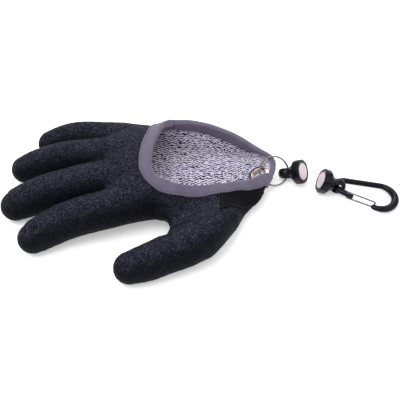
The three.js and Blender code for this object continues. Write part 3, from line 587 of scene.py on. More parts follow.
def made_real(obj):
    """The mesh that an object's modifiers give, in place of its own."""
    graph = bpy.context.evaluated_depsgraph_get()
    made = bpy.data.meshes.new_from_object(obj.evaluated_get(graph))
    obj.modifiers.clear()
    obj.data = made
    return made


def piece(name, points, faces, surface, body="glove", slot=None, replaces=(), flow=None, sharp=180):
    mesh = mesh_of(name, points, [], [list(map(int, f)) for f in faces])
    mesh.validate()
    mesh.polygons.foreach_set("use_smooth", [True] * len(mesh.polygons))
    mesh.set_sharp_from_angle(angle=math.radians(sharp))
    mesh.materials.append(surface)
    if flow is not None:
        data = mesh.attributes.new("flow", "FLOAT_VECTOR", "POINT").data
        data.foreach_set("vector", (np.asarray(flow) * MM).ravel())
    obj = in_scene(name, mesh)
    finish_piece(obj, body, replaces)
    return obj


def finish_piece(obj, body, replaces):
    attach(obj, body)
    if replaces:
        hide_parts(*replaces)


def outwards(points, faces):
    """Turns the faces of a closed mesh so that they look outwards."""
    faces = [list(f) for f in faces]
    p = np.asarray(points)
    volume = sum(np.dot(p[f[0]], np.cross(p[f[i]], p[f[i + 1]])) for f in faces for i in range(1, len(f) - 1))
    return faces if volume > 0 else [f[::-1] for f in faces]


def consistent(points, faces):
    """Faces of a closed mesh made to agree and look outwards."""
    bm = bmesh.new()
    verts = [bm.verts.new(p) for p in points]
    for face in faces:
        bm.faces.new([verts[int(i)] for i in face])
    bmesh.ops.recalc_face_normals(bm, faces=bm.faces)
    bm.verts.index_update()
    result = [[v.index for v in face.verts] for face in bm.faces]
    bm.free()
    return result


def tube_faces(rings, count, closed=False, capped=True):
    """Quads between rings of points, and a face at each end."""
    faces = []
    for i in range(rings if closed else rings - 1):
        a, b = i * count, ((i + 1) % rings) * count
        faces += [(a + j, a + (j + 1) % count, b + (j + 1) % count, b + j) for j in range(count)]
    if capped and not closed:
        faces.append(tuple(range(count))[::-1])
        faces.append(tuple((rings - 1) * count + j for j in range(count)))
    return faces


def lathe(profile, segments, placement, radius_at=None):
    """Closed profile of (radius, height) turned about the placement's Z."""
    rows = []
    for i in range(segments):
        t = 2 * math.pi * i / segments
        for r, z in profile:
            k = radius_at(t, r, z) if radius_at else 1
            rows.append(placement @ Vector((r * k * math.cos(t), r * k * math.sin(t), z)))
    return [tuple(p) for p in rows], tube_faces(segments, len(profile), closed=True)


def rounded(profile, radius, steps=4):
    """Closed profile with its corners rounded."""
    result = []
    n = len(profile)
    for i, corner in enumerate(profile):
        c = Vector(corner)
        before, after = Vector(profile[i - 1]) - c, Vector(profile[(i + 1) % n]) - c
        r = min(radius, 0.45 * before.length, 0.45 * after.length)
        a, b = c + before.normalized() * r, c + after.normalized() * r
        for k in range(steps + 1):
            t = k / steps
            result.append(tuple((1 - t) ** 2 * a + 2 * t * (1 - t) * c + t * t * b))
    return result


def joined(*parts):
    """Closed meshes put together, each turned to look outwards."""
    points, faces = [], []
    for p, f in parts:
        f = outwards(p, f)
        faces += [[i + len(points) for i in face] for face in f]
        points += list(p)
    return points, faces


# eyelet's place
PALM_FLOOR_AT = PALM_X, PALM_COLUMNS[5]
EYELET_INSET, EYELET_SIDE, SLOPE_SPAN = 13.5, 20, 0.08


def layer_height(share):
    return float(np.interp(-share * PALM_LENGTH, *PALM_FLOOR_AT))


eyelet_share = EYELET_INSET / PALM_LENGTH
rise = layer_height(eyelet_share - SLOPE_SPAN / 2) - layer_height(eyelet_share + SLOPE_SPAN / 2)
eyelet_centre = Vector((-EYELET_INSET, EYELET_SIDE, layer_height(eyelet_share) + WALL / 2))
eyelet_turn = Matrix.Translation(eyelet_centre) @ Matrix.Rotation(
    -math.atan(rise / (SLOPE_SPAN * PALM_LENGTH)), 4, "Y")
EYELET_AXES = np.array(eyelet_turn.to_3x3())
EYELET_AT = np.array(eyelet_centre)


# latex skin and knit liner
GRID = 1.5
FIELD_FAR, FINGER_MARGIN = 40.0, 14
low = np.array([-226.0, -95.0, -3.4])
high = np.array([4.0, 73.0, 53.0])
steps = ((high - low) / GRID).astype(int) + 1
axes = [low[i] + GRID * np.arange(steps[i]) for i in range(3)]
points = np.stack(np.meshgrid(*axes, indexing="ij"), -1)
finger_fields = []
for rows in FINGER_CHAINS:
    field = np.full(points.shape[:-1], FIELD_FAR)
    reach = rows[:, 3].max() + FINGER_MARGIN
    first = np.clip(((rows[:, :3].min(0) - reach - low) / GRID).astype(int), 0, steps)
    last = np.clip(((rows[:, :3].max(0) + reach - low) / GRID).astype(int) + 1, 0, steps)
    block = tuple(slice(a, b) for a, b in zip(first, last))
    field[block] = finger(points[block], rows)
    finger_fields.append(field)
values = union(finger_fields, palm(points), points)
skin, quads = surface_nets(values, low, GRID)
skin = onto(hand, skin, 1)
normals = gradient(hand, skin)
a, b, c = (skin[quads[:, i]] for i in (0, 1, 2))
if np.mean(np.sum(np.cross(b - a, c - a) * normals[quads[:, 0]], 1)) < 0:
    quads = quads[:, ::-1]

edge_distance = opening(skin)
local = (skin - EYELET_AT) @ EYELET_AXES
eyelet_away = np.hypot(local[:, 0], local[:, 1])
EYELET_FLAT, EYELET_FADE, EYELET_REACH = 15.0, 5.0, 4
by_eyelet = skin[:, 2] < eyelet_centre.z + EYELET_REACH
flat_share = smooth_step(np.clip((EYELET_FLAT - eyelet_away) / EYELET_FADE, 0, 1) * by_eyelet)


def layer(depth):
    """The skin moved inwards by depth, flat round the eyelet."""
    moved = skin - normals * depth
    flat = local.copy()
    flat[:, 2] = -WALL / 2 + depth
    flat = flat @ EYELET_AXES.T + EYELET_AT
    return moved + flat_share[:, None] * (flat - moved)


def shell(outer, inner, kept):
    """Two layers and the walls along their free edges."""
    kept = kept.tolist()
    n = len(outer)
    seen = {}
    for face in kept:
        for i, j in zip(face, face[1:] + face[:1]):
            if (j, i) in seen:
                del seen[(j, i)]
            else:
                seen[(i, j)] = True
    faces = kept + [[i + n for i in face[::-1]] for face in kept]
    faces += [[i, i + n, j + n, j] for i, j in seen]
    used = np.unique(np.concatenate([np.ravel(face) for face in kept]))
    number = np.full(2 * n, -1)
    both = np.concatenate([used, used + n])
    number[both] = np.arange(len(both))
    return np.concatenate([outer, inner])[both], [[int(number[i]) for i in face] for face in faces], both


SWELL, SWELL_RATE, RIPPLE, RIPPLE_RATE, RELIEF_SEED = 0.16, 0.33, 0.10, 0.9, 3.0


def relief(P):
    """Slight unevenness of the dipped skin, mm: broad swells and finer ones."""
    return np.array([
        SWELL * noise.noise(Vector(p) * SWELL_RATE + Vector((RELIEF_SEED, 0, 0)))
        + RIPPLE * noise.noise(Vector(p) * RIPPLE_RATE + Vector((0, RELIEF_SEED, 0))) for p in P])


eyelet_hole = EYELET_HOLE / 2 + EYELET_PLATE + CLEARANCE
SKIN_SETBACK, LINER_SETBACK, FLOOR_GAP, HOLE_MARGIN, WALL_TURN = 1.6, 1.9, 0.16, 0.6, 8
in_hole = (eyelet_away < eyelet_hole + HOLE_MARGIN) & by_eyelet
kept = quads[(edge_distance[quads].mean(1) > SKIN_SETBACK) & ~in_hole[quads].any(1)]
outer = layer(0.0) + normals * (relief(skin) * (1 - flat_share))[:, None]
outer[:, 2] = np.maximum(outer[:, 2], FLOOR_GAP)
p, f, _ = shell(outer, layer(COATING), kept)
piece("glove_skin", p, f, LATEX, slot="latex", replaces=["latex_palm", "latex_fingers"])

# the knit's courses run across the hand, and up its walls
middle = np.interp(skin[:, 0], PALM_X, PALM_COLUMNS[1])
up_wall = np.tanh((skin[:, 1] - middle) / WALL_TURN) * skin[:, 2]
flow = np.stack([skin[:, 0], skin[:, 1] + up_wall, 0 * middle], 1)
inner_kept = quads[(edge_distance[quads].mean(1) > LINER_SETBACK) & ~in_hole[quads].any(1)]
p, f, both = shell(layer(COATING + PLY_GAP), layer(WALL), inner_kept)
piece("glove_liner", p, f, KNITTED, slot="knit", replaces=["knit_liner"], flow=flow[both % len(skin)])


# binding along the opening
STATIONS, AWAY_SMOOTHING, NORMAL_SMOOTHING, WIDTH_SMOOTHING = 440, 30, 4, 12
OPENING_HUB, HUB_REACH, SEARCH_STEPS = np.array([-45.0, 22.0, 20.0]), 130.0, 20
RAYS_ROUND, RAYS_DOWN, FIRST_PITCH, LAST_PITCH = 300, 90, 88, -40
theta = np.linspace(0, 2 * np.pi, RAYS_ROUND, endpoint=False)
phi = np.radians(np.linspace(FIRST_PITCH, LAST_PITCH, RAYS_DOWN))
direction = np.stack([
    np.cos(phi)[None] * np.cos(theta)[:, None], np.cos(phi)[None] * np.sin(theta)[:, None],
    np.sin(phi)[None] + 0 * theta[:, None]], -1)
on_skin = OPENING_HUB + reach_out(
    palm, OPENING_HUB, direction, HUB_REACH, 0, SEARCH_STEPS)[..., None] * direction
g = opening(on_skin)
first = np.argmax(g > 0, axis=1)
rows = np.arange(len(theta))
ga, gb = g[rows, first - 1], g[rows, first]
share = (ga / (ga - gb))[:, None]
rim = on_skin[rows, first - 1] * (1 - share) + on_skin[rows, first] * share


def resampled(line, count, closed=True):
    """Evenly spaced points on a line, and its length."""
    if closed:
        line = np.concatenate([line, line[:1]])
    run = np.concatenate([[0], np.cumsum(np.linalg.norm(np.diff(line, axis=0), axis=1))])
    at = np.linspace(0, run[-1], count, endpoint=not closed)
    return np.stack([np.interp(at, run, line[:, i]) for i in range(3)], 1), run[-1]


for _ in range(3):
    rim, rim_length = resampled(rim, STATIONS)
    rim = smoothed(rim, 3)
    rim = onto(hand, rim, 3)

# paths over the skin, away from the opening, square to its edge
STEP, PATH_LENGTH = 0.5, 13
tangent = np.roll(rim, -1, 0) - np.roll(rim, 1, 0)
tangent /= np.linalg.norm(tangent, axis=1)[:, None]
normal = gradient(hand, rim)
away = np.cross(tangent, normal)
inwards_turn = np.sign(np.sum(away * (opening(rim + away) - opening(rim - away))[:, None] * away, 1))
away *= np.where(np.median(inwards_turn) < 0, -1, 1)
away = smoothed(away, AWAY_SMOOTHING)
path, path_normals, heading = [rim], [normal], away
for _ in range(int(PATH_LENGTH / STEP)):
    n_here = path_normals[-1]
    heading = heading - np.sum(heading * n_here, 1)[:, None] * n_here
    heading /= np.linalg.norm(heading, axis=1)[:, None]
    step_on = onto(hand, path[-1] + STEP * heading, 2)
    path.append(step_on)
    path_normals.append(gradient(hand, step_on))
path, path_normals = np.array(path), np.array(path_normals)
path_normals = smoothed(path_normals, NORMAL_SMOOTHING, 1)
path_normals /= np.linalg.norm(path_normals, axis=2)[:, :, None]


def on_band(s, v):
    """Points s mm from the edge along the skin and v mm outside it, one per station."""
    s = np.broadcast_to(np.asarray(s, float), (STATIONS,))
    k = np.clip(s / STEP, 0, len(path) - 1.001)
    i = k.astype(int)
    t = (k - i)[:, None]
    at = np.arange(STATIONS)
    base = path[i, at] * (1 - t) + path[i + 1, at] * t
    n = path_normals[i, at] * (1 - t) + path_normals[i + 1, at] * t
    return base + n * np.broadcast_to(np.asarray(v, float), (STATIONS,))[:, None]


OUT_LOW, OUT_HIGH = PLY_GAP, PLY_GAP + BAND_THICKNESS
IN_HIGH, IN_LOW = -WALL - PLY_GAP, -WALL - PLY_GAP - BAND_THICKNESS
# the inner leg narrows towards the eyelet
TIP_FROM, TIP_SPAN, LEG_IN, LEG_IN_AT_TIP = -24, 16, 9.0, 2.2
tip_share = smooth_step(np.clip((rim[:, 0] - TIP_FROM) / TIP_SPAN, 0, 1))
leg_in = LEG_IN * (1 - tip_share) + LEG_IN_AT_TIP * tip_share
rim_run = np.arange(STATIONS) * rim_length / STATIONS
# the tape's raw edge wanders: size, length of a wave, start
EDGE_WAVES = ((0.10, 23.0, 0), (0.07, 9.7, 1))
wave = sum(size * np.sin(rim_run * 2 * np.pi / length + start) for size, length, start in EDGE_WAVES)
STITCH_AT = 8.2
LAP_AT, LAP_STATIONS, LAP_RISE, LAP_END = (-87, 50), 14, 0.7, 0.05
# along, share of the outer leg's width on the near side
NEAR_WIDTH = np.array([
    (-70, 1), (-60, 0.97), (-50, 0.88), (-42, 0.82), (-32, 0.82), (-24, 0.88), (-14, 1.02), (-5, 1.2),
])
NEAR_SIDE, NEAR_FADE = 27, 8
near_share = np.clip((NEAR_SIDE - rim[:, 1]) / NEAR_FADE, 0, 1)
width_share = smoothed(1 + (np.interp(rim[:, 0], *NEAR_WIDTH.T) - 1) * near_share, WIDTH_SMOOTHING)
# the tape's lapped end on the far side, by the front corner
lap_from = int(np.argmin(np.linalg.norm(rim[:, :2] - LAP_AT, axis=1)))
lap = np.zeros(STATIONS)
lap[np.arange(lap_from, lap_from + LAP_STATIONS) % STATIONS] = np.linspace(LAP_RISE, LAP_END, LAP_STATIONS)
LEG_OUT, FOLD_AT, FOLD_DEPTH, FOLD_STEPS = BAND_WIDTH - 0.1, 1.6, 1.75, 12
PUFF, STITCH_PULL, PULL_WIDTH, RAW_EDGE = 0.14, 0.30, 0.45, -0.35
LEG_START, INSIDE_FOLD, INNER_PUFF, INNER_EDGE = 1.4, 1.45, 0.1, 0.3
profile = []
for s in (LEG_OUT, 9.3, 8.7, STITCH_AT, 7.7, 7.0, 5.6, 4.2, 2.8, FOLD_AT):
    puff = PUFF * math.sin(math.pi * (s - FOLD_AT) / (LEG_OUT - FOLD_AT))
    puff -= STITCH_PULL * math.exp(-((s - STITCH_AT) / PULL_WIDTH) ** 2)
    edge = RAW_EDGE if s == LEG_OUT else 0
    profile.append(((s + wave) * width_share, OUT_HIGH + puff + edge + lap))
mid = (OUT_HIGH + IN_LOW) / 2
for k in range(1, FOLD_STEPS):
    t = math.pi * k / FOLD_STEPS
    profile.append((FOLD_AT - (FOLD_DEPTH + lap) * math.sin(t), mid + (OUT_HIGH + lap - mid) * math.cos(t)))
outer_rows = len(profile)
for s in (0.15, 0.4, 0.65, 0.8, 0.93, 1.0):
    rise = IN_LOW - INNER_PUFF * math.sin(math.pi * s) + (INNER_EDGE if s == 1.0 else 0)
    profile.append((LEG_START + (leg_in - LEG_START) * s, rise - lap))
for s in (1.0, 0.6, 0.2, 0.0):
    profile.append((INSIDE_FOLD + (leg_in - INSIDE_FOLD) * s, IN_HIGH))
profile += [(INSIDE_FOLD - 0.15, -WALL / 2), (INSIDE_FOLD, OUT_LOW)]
for s in (3.5, 6.0, 8.0, LEG_OUT):
    profile.append(((s + wave) * width_share, OUT_LOW))
rings = np.stack([on_band(s, v) for s, v in profile], 1)
offset = (rings - EYELET_AT) @ EYELET_AXES
away_now = np.hypot(offset[..., 0], offset[..., 1])
wanted = np.maximum(away_now, EYELET_FLANGE / 2 + CLEARANCE)
near_plate = np.abs(offset[..., 2]) < EYELET_FADE
offset[..., :2] *= np.where(near_plate, wanted / np.maximum(away_now, 0.1), 1)[..., None]
rings = offset @ EYELET_AXES.T + EYELET_AT
BAND_FLOOR_GAP, INNER_FLOW = 0.3, 40
rings[..., 2] = np.maximum(rings[..., 2], BAND_FLOOR_GAP)
across = np.stack([np.broadcast_to(s, (STATIONS,)) for s, v in profile], 1)
inner_leg = np.where(np.arange(len(profile)) < outer_rows, 0, INNER_FLOW)
flow = np.stack([np.broadcast_to(rim_run[:, None], across.shape), across + inner_leg, across], -1)
band_points = rings.reshape(-1, 3)
band_faces = outwards(band_points, tube_faces(STATIONS, len(profile), closed=True))
band = piece("binding", band_points, band_faces, WEBBING, slot="webbing", replaces=["rim_binding"],
             flow=flow.reshape(-1, 3))


# bare woven label under the binding
LABEL_COLUMNS, LABEL_ROWS, LABEL_DROP = 44, 26, 16
LABEL_LEAN = math.radians(-11)
OPENING_AWAY, BAND_AWAY = 7, 0.7
LABEL_CORNER, LABEL_END, LABEL_LOW, LABEL_LOW_FALL = (224.5, 192), (264, 188), (228, 209), 0.1


def seen(P):
    """Where the camera sees points, in pixels of a picture 400 pixels wide."""
    c, k = math.cos(VIEW_HEIGHT), math.sin(VIEW_HEIGHT)
    away = P + SHIFT - np.array(VIEW_POINT) / MM
    depth = VIEW_DISTANCE / MM + away @ np.array([0, c, -k])
    rise = away @ np.array([0, k, c])
    return PICTURE_MIDDLE + VIEW_FOCUS * away[..., 0] / depth, PICTURE_MIDDLE - VIEW_FOCUS * rise / depth


LABEL_HEIGHTS, LABEL_HUB_SIDE, LABEL_REACH = (27, 20), 18.0, 90.0
LABEL_TURN, LABEL_RAYS, LABEL_SEARCH = (60, 250), 380, 22
LABEL_CURL, CURL_FROM, DROP_SMOOTHING, GRID_SMOOTHING = 0.25, -1.6, 30, 4
label_up = np.array([math.sin(LABEL_LEAN), 0, math.cos(LABEL_LEAN)])
label_from, label_to = (
    seen_at(*corner, height)[0] for corner, height in zip((LABEL_CORNER, LABEL_END), LABEL_HEIGHTS))
band_edge = on_band((LEG_OUT + wave) * width_share, OUT_LOW)
columns = []
for x in np.linspace(label_from, label_to, LABEL_COLUMNS + 1):
    # walk round the palm in the plane of this column, from its crest down the near side
    hub = np.array([x, LABEL_HUB_SIDE, float(mono(PALM_X, PALM_COLUMNS[3], x))])
    psi = np.radians(np.linspace(*LABEL_TURN, LABEL_RAYS))
    rays = np.cos(psi)[:, None] * label_up - np.sin(psi)[:, None] * np.array([0, 1, 0])
    reach = reach_out(hand, hub, rays, LABEL_REACH, PLY_GAP + LABEL_THICKNESS / 2, LABEL_SEARCH)
    walk = hub + reach[:, None] * rays
    from_band = np.linalg.norm(walk[:, None] - band_edge[None], axis=2).min(1)
    first = int(np.argmax((opening(walk) > OPENING_AWAY) & (from_band > BAND_AWAY)))
    walk = walk[first:]
    px, py = seen(walk)
    run = np.concatenate([[0], np.cumsum(np.linalg.norm(np.diff(walk, axis=0), axis=1))])
    stop = (py > LABEL_LOW[1] - LABEL_LOW_FALL * (px - LABEL_LOW[0])) | (run > LABEL_DROP)
    columns.append((walk, run, run[int(np.argmax(stop))]))
drop = np.array([length for _, _, length in columns])
for _ in range(DROP_SMOOTHING):
    drop[1:-1] = 0.5 * drop[1:-1] + 0.25 * (drop[2:] + drop[:-2])
grid = np.array([[[np.interp(share * length, run, walk[:, k]) for k in range(3)]
                  for share in np.linspace(0, 1, LABEL_ROWS + 1)]
                 for (walk, run, _), length in zip(columns, drop)])
for _ in range(GRID_SMOOTHING):
    grid[1:-1] = 0.5 * grid[1:-1] + 0.25 * (grid[2:] + grid[:-2])
label_normals = gradient(hand, grid)
curl = LABEL_CURL * np.clip(np.linspace(CURL_FROM, 1, len(grid)), 0, 1)[:, None] ** 2 + 0 * grid[..., 0]
top = grid + label_normals * (LABEL_THICKNESS / 2 + curl)[..., None]
under = grid - label_normals * (LABEL_THICKNESS / 2 - curl)[..., None]
n_columns, n_rows = grid.shape[:2]
label_points = np.concatenate([top.reshape(-1, 3), under.reshape(-1, 3)])
number = np.arange(n_columns * n_rows).reshape(n_columns, n_rows)
faces = [[number[i, j], number[i + 1, j], number[i + 1, j + 1], number[i, j + 1]]
         for i in range(n_columns - 1) for j in range(n_rows - 1)]
faces += [[k + number.size for k in face[::-1]] for face in faces]
border = [*number[:, 0], *number[-1, 1:], *number[-2::-1, -1], *number[0, -2:0:-1]]
faces += [[border[i - 1], border[i], border[i] + number.size, border[i - 1] + number.size]
          for i in range(len(border))]
label_flow = np.zeros((n_columns, n_rows, 3))
label_flow[..., 0] = np.cumsum(np.linalg.norm(np.diff(grid, axis=0, prepend=grid[:1]), axis=2), axis=0)
label_flow[..., 1] = np.cumsum(np.linalg.norm(np.diff(grid, axis=1, prepend=grid[:, :1]), axis=2), axis=1)
label_flow = np.concatenate([label_flow.reshape(-1, 3)] * 2)
label = piece("bare_label", label_points, consistent(label_points, faces), LABEL_CLOTH, slot="woven_label",
              replaces=["side_label"], flow=label_flow, sharp=50)


# stitches, laid by geometry nodes
def stitch_tree():
    """Thread stitches along an edge line: named inputs, one spindle a stitch."""
    tree = bpy.data.node_groups.new("stitch_row", "GeometryNodeTree")
    tree.interface.new_socket("Geometry", in_out="INPUT", socket_type="NodeSocketGeometry")
    for label, kind, value in (("Pitch", "NodeSocketFloat", 0.003), ("Length", "NodeSocketFloat", 0.0022),
                               ("Thickness", "NodeSocketFloat", 0.0005), ("Seed", "NodeSocketInt", 7)):
        tree.interface.new_socket(label, in_out="INPUT", socket_type=kind).default_value = value
    tree.interface.new_socket("Material", in_out="INPUT", socket_type="NodeSocketMaterial")
    tree.interface.new_socket("Geometry", in_out="OUTPUT", socket_type="NodeSocketGeometry")
    n = Nodes(tree)
    given = tree.nodes.new("NodeGroupInput").outputs
    line = n.add("GeometryNodeMeshToCurve", {"Mesh": given["Geometry"]}).outputs[0]
    spots = n.add("GeometryNodeCurveToPoints", {"Curve": line, "Length": given["Pitch"]}, mode="LENGTH")
    spindle = n.add("GeometryNodeMeshUVSphere", {"Segments": 8, "Rings": 6, "Radius": 0.5}).outputs[0]
    seed = given["Seed"]
    size = n.add("FunctionNodeRandomValue", {"Min": (0.9, 0.9, 0.88), "Max": (1.1, 1.1, 1.06), "Seed": seed},
                 data_type="FLOAT_VECTOR").outputs[0]
    sides = n.add("ShaderNodeCombineXYZ", {0: given["Thickness"], 1: given["Thickness"], 2: given["Length"]})
    scale = n.add("ShaderNodeVectorMath", {0: size, 1: sides.outputs[0]}, operation="MULTIPLY").outputs[0]
    laid = n.add("GeometryNodeInstanceOnPoints", {
        "Points": spots.outputs["Points"], "Instance": spindle, "Rotation": spots.outputs["Rotation"],
        "Scale": scale}).outputs[0]
    real = n.add("GeometryNodeRealizeInstances", {"Geometry": laid}).outputs[0]
    smooth = n.add("GeometryNodeSetShadeSmooth", {"Geometry": real}).outputs[0]
    dressed = n.add("GeometryNodeSetMaterial", {"Geometry": smooth, "Material": given["Material"]}).outputs[0]
    tree.links.new(dressed, tree.nodes.new("NodeGroupOutput").inputs[0])
    return tree


STITCH_TREE = stitch_tree()


def stitches(name, line, thread, slot, closed=False, **inputs):
    """A row of stitches along a line of points, made real before it is put on the glove's body."""
    edges = [(i, i + 1) for i in range(len(line) - 1)] + ([(len(line) - 1, 0)] if closed else [])
    obj = in_scene(name, mesh_of(name + "_line", line, edges, []))
    modifier = obj.modifiers.new("stitches", "NODES")
    modifier.node_group = STITCH_TREE
    for item in STITCH_TREE.interface.items_tree:
        if item.in_out == "INPUT" and item.name in {"Material": 1, **inputs}:
            modifier[item.identifier] = {"Material": thread, **inputs}[item.name]
    made_real(obj)
    finish_piece(obj, "glove", ())
    return obj


STITCH_SINK = 0.02
stitch_line = on_band((STITCH_AT + wave) * width_share, OUT_HIGH - STITCH_SINK)
stitches("binding_stitches", stitch_line, THREAD, "webbing", closed=True,
         Pitch=0.0031, Length=0.0025, Thickness=0.00062, Seed=11)
seam_line = rings[(lap_from - 3) % STATIONS, 1:26]
stitches("lap_stitches", seam_line, SEAM_THREAD, "webbing",
         Pitch=0.0016, Length=0.0013, Thickness=0.0006, Seed=17)
for name, line, seed in (("label_stitches_low", top[2:n_columns - 2, n_rows - 3], 5),
                         ("label_stitches_front", top[2, 1:n_rows - 2], 6)):
    stitches(name, line, DARK_THREAD, "woven_label", Pitch=0.0024, Length=0.0018, Thickness=0.0004, Seed=seed)


# eyelet, split ring, magnetic release
def turned(profile, segments, placement, factor=None):
    """Open profile of (radius, height) turned about Z, with a flat cap at each end."""
    points = []
    for r, z in profile:
        for i in range(segments):
            t = 2 * math.pi * i / segments
            k = r * (factor(t, r, z) if factor else 1)
            points.append(tuple(placement @ Vector((k * math.cos(t), k * math.sin(t), z))))
    return points, tube_faces(len(profile), segments)


half_wall = WALL / 2 + PLY_GAP
flange_top = half_wall + EYELET_PLATE
hole = EYELET_HOLE / 2
eyelet_profile = rounded([
    (hole, -flange_top + 0.2), (hole + 0.5, -flange_top), (EYELET_FLANGE / 2, -flange_top),
    (EYELET_FLANGE / 2, -half_wall), (hole + 0.6, -half_wall), (hole + 0.6, half_wall),
    (EYELET_FLANGE / 2, half_wall), (EYELET_FLANGE / 2 - 0.1, flange_top - 0.1),
    (hole + 1.7, flange_top + 0.55), (hole + 0.35, flange_top + 0.35)], 0.7, 5)
p, f = joined(lathe(eyelet_profile, 72, eyelet_turn))
piece("eyelet", p, f, NICKEL, slot="nickel", replaces=["grommet"], sharp=60)

ring_mid = (SPLIT_RING - SPLIT_RING_WIRE) / 2
RING_TILT, RING_FALL, RING_PLACE = math.radians(39), 0.216, (0.27, 3.9, 1.7)
ring_across = Vector((1, 0, -RING_FALL)).normalized()
ring_up = Vector((0, math.cos(RING_TILT), math.sin(RING_TILT)))
ring_up = (ring_up - ring_across * ring_up.dot(ring_across)).normalized()
ring_normal = ring_across.cross(ring_up)
ring_centre = eyelet_centre + Vector((RING_PLACE[0] + ring_mid, *RING_PLACE[1:]))
WIRE_HEIGHT = SPLIT_RING_HEIGHT / 2 - 0.02
RING_TURNS, RING_START, CLIMB_FROM, CLIMB_SPAN = 1.87, 2.4, 0.87, 0.12
END_SIZE, SQUARENESS = 0.55, 0.6


def split_ring():
    """One and seven eighths turns of flat wire, the second turn on the first."""
    points, count, rows = [], 12, 190
    for i in range(rows):
        turn = RING_TURNS * i / (rows - 1)
        angle = 2 * math.pi * turn + RING_START
        lift = WIRE_HEIGHT * (smooth_step(np.clip((turn - CLIMB_FROM) / CLIMB_SPAN, 0, 1)) - 0.5)
        end = min(1.0, END_SIZE + (1 - END_SIZE) * min(i, rows - 1 - i) / 2)
        out = ring_across * math.cos(angle) + ring_up * math.sin(angle)
        for j in range(count):
            t = 2 * math.pi * (j + 0.5) / count
            a = math.copysign(abs(math.cos(t)) ** SQUARENESS, math.cos(t)) * SPLIT_RING_WIRE / 2 * end
            b = math.copysign(abs(math.sin(t)) ** SQUARENESS, math.sin(t)) * WIRE_HEIGHT / 2 * end
            points.append(tuple(ring_centre + out * (ring_mid + a) + ring_normal * (lift + b)))
    return points, tube_faces(rows, count)


p, f = joined(split_ring())
piece("key_ring", p, f, STEEL, slot="steel", replaces=["split_ring"], sharp=50)

lug_centre = -(HOLDER_LENGTH - LUG_DIAMETER / 2)
LUG_WALL, HOOD, HOOD_HALF = 1.2, 0.2, 3.5


def placed(x, y, z, at):
    m = Matrix((x, y, z)).transposed().to_4x4()
    m.translation = at
    return m


def holder_placement(face, outward, plate_normal):
    x = (plate_normal - outward * plate_normal.dot(outward)).normalized()
    return placed(x, outward.cross(x), outward, face)


FLATNESS, FLAT_FROM, FLAT_FADE, CONE_FADE = 0.5, 7.7, 1.2, 2.5


def octagon(t, r, z):
    """Flattens the cup's outside into eight sides that fade out down the cone."""
    flat = math.cos(math.pi / 8) / math.cos((t % (math.pi / 4)) - math.pi / 8)
    down = 1 if z > -HOLDER_CUP else max(0, 1 + (z + HOLDER_CUP) / CONE_FADE)
    share = min(1, max(0, (r - FLAT_FROM) / FLAT_FADE)) * down
    return 1 - FLATNESS * (1 - flat) * share


def holder(name, node, magnet, magnet_node, placement):
    outer = HOLDER_DIAMETER / 2
    neck_end = lug_centre + LUG_HOLE / 2 + LUG_WALL
    # radius, height
    cup_profile = [
        (1.0, -3.3), (7.3, -3.3), (7.3, -0.35), (7.42, -0.1), (7.65, 0), (outer - 1.1, 0),
        (outer - 0.45, -0.12), (outer - 0.1, -0.5), (outer, -1.0), (outer, -HOLDER_CUP + 1.2),
        (outer - 0.2, -HOLDER_CUP + 0.6), (outer - 0.8, -HOLDER_CUP + 0.1),
        (outer - 1.6, -HOLDER_CUP - 0.3), (7.6, -HOLDER_CUP - 1.4), (7.5, -HOLDER_CUP - 1.7),
        (6.6, -HOLDER_CUP - 2.6), (6.5, -HOLDER_CUP - 2.9), (6.0, -HOLDER_CUP - 3.6),
        (5.7, -HOLDER_CUP - 4.2), (5.0, neck_end + 0.5), (4.2, neck_end)]
    plate = placement @ Matrix.Translation((0, 0, lug_centre)) @ Matrix.Rotation(math.pi / 2, 4, "Y")
    wall, middle = (LUG_DIAMETER - LUG_HOLE) / 4, (LUG_DIAMETER + LUG_HOLE) / 4
    lug_turns = [math.pi * k / 12 for k in range(24)]
    lug_profile = [(middle + HOOD + (wall + HOOD) * math.cos(t), HOOD_HALF * math.sin(t)) for t in lug_turns]
    p, f = joined(turned(cup_profile, 96, placement, octagon), lathe(lug_profile, 56, plate))
    piece(name, p, f, PLASTIC, slot="black_plastic", replaces=[node], sharp=38)
    radius = MAGNET_DIAMETER / 2
    disc = [(radius - 0.1, -MAGNET_HEIGHT), (radius, -MAGNET_HEIGHT + 0.2), (radius, -0.42),
            (radius - 0.1, -0.16), (radius - 0.32, -0.02), (radius - 0.6, 0), (radius - 2, 0), (0.4, 0)]
    p, f = joined(turned(disc, 72, placement @ Matrix.Translation((0, 0, CLEARANCE / 2))))
    piece(magnet, p, f, PLATED, slot="plated_magnet", replaces=[magnet_node], sharp=40)


glove_facing = Vector((0.82, -0.32, 0.475)).normalized()
lug_play = (LUG_HOLE - SPLIT_RING_WIRE) / 2 - CLEARANCE
PULLED_SHARE = 0.6
glove_lug = ring_centre + ring_across * ring_mid - glove_facing * PULLED_SHARE * lug_play
glove_face = glove_lug - glove_facing * lug_centre
holder("release_glove_side", "holder_glove_side", "magnet_disc_glove_side", "magnet_glove_side",
       holder_placement(glove_face, glove_facing, ring_up))

line_facing = Vector((-0.93, 0.08, 0.36)).normalized()
FACES_APART, LUG_LIFT = Vector((13.9, -8, 0)), 0.2
line_lug = glove_face + FACES_APART + line_facing * lug_centre
line_lug.z = LUG_DIAMETER / 2 + LUG_LIFT
line_face = line_lug - line_facing * lug_centre

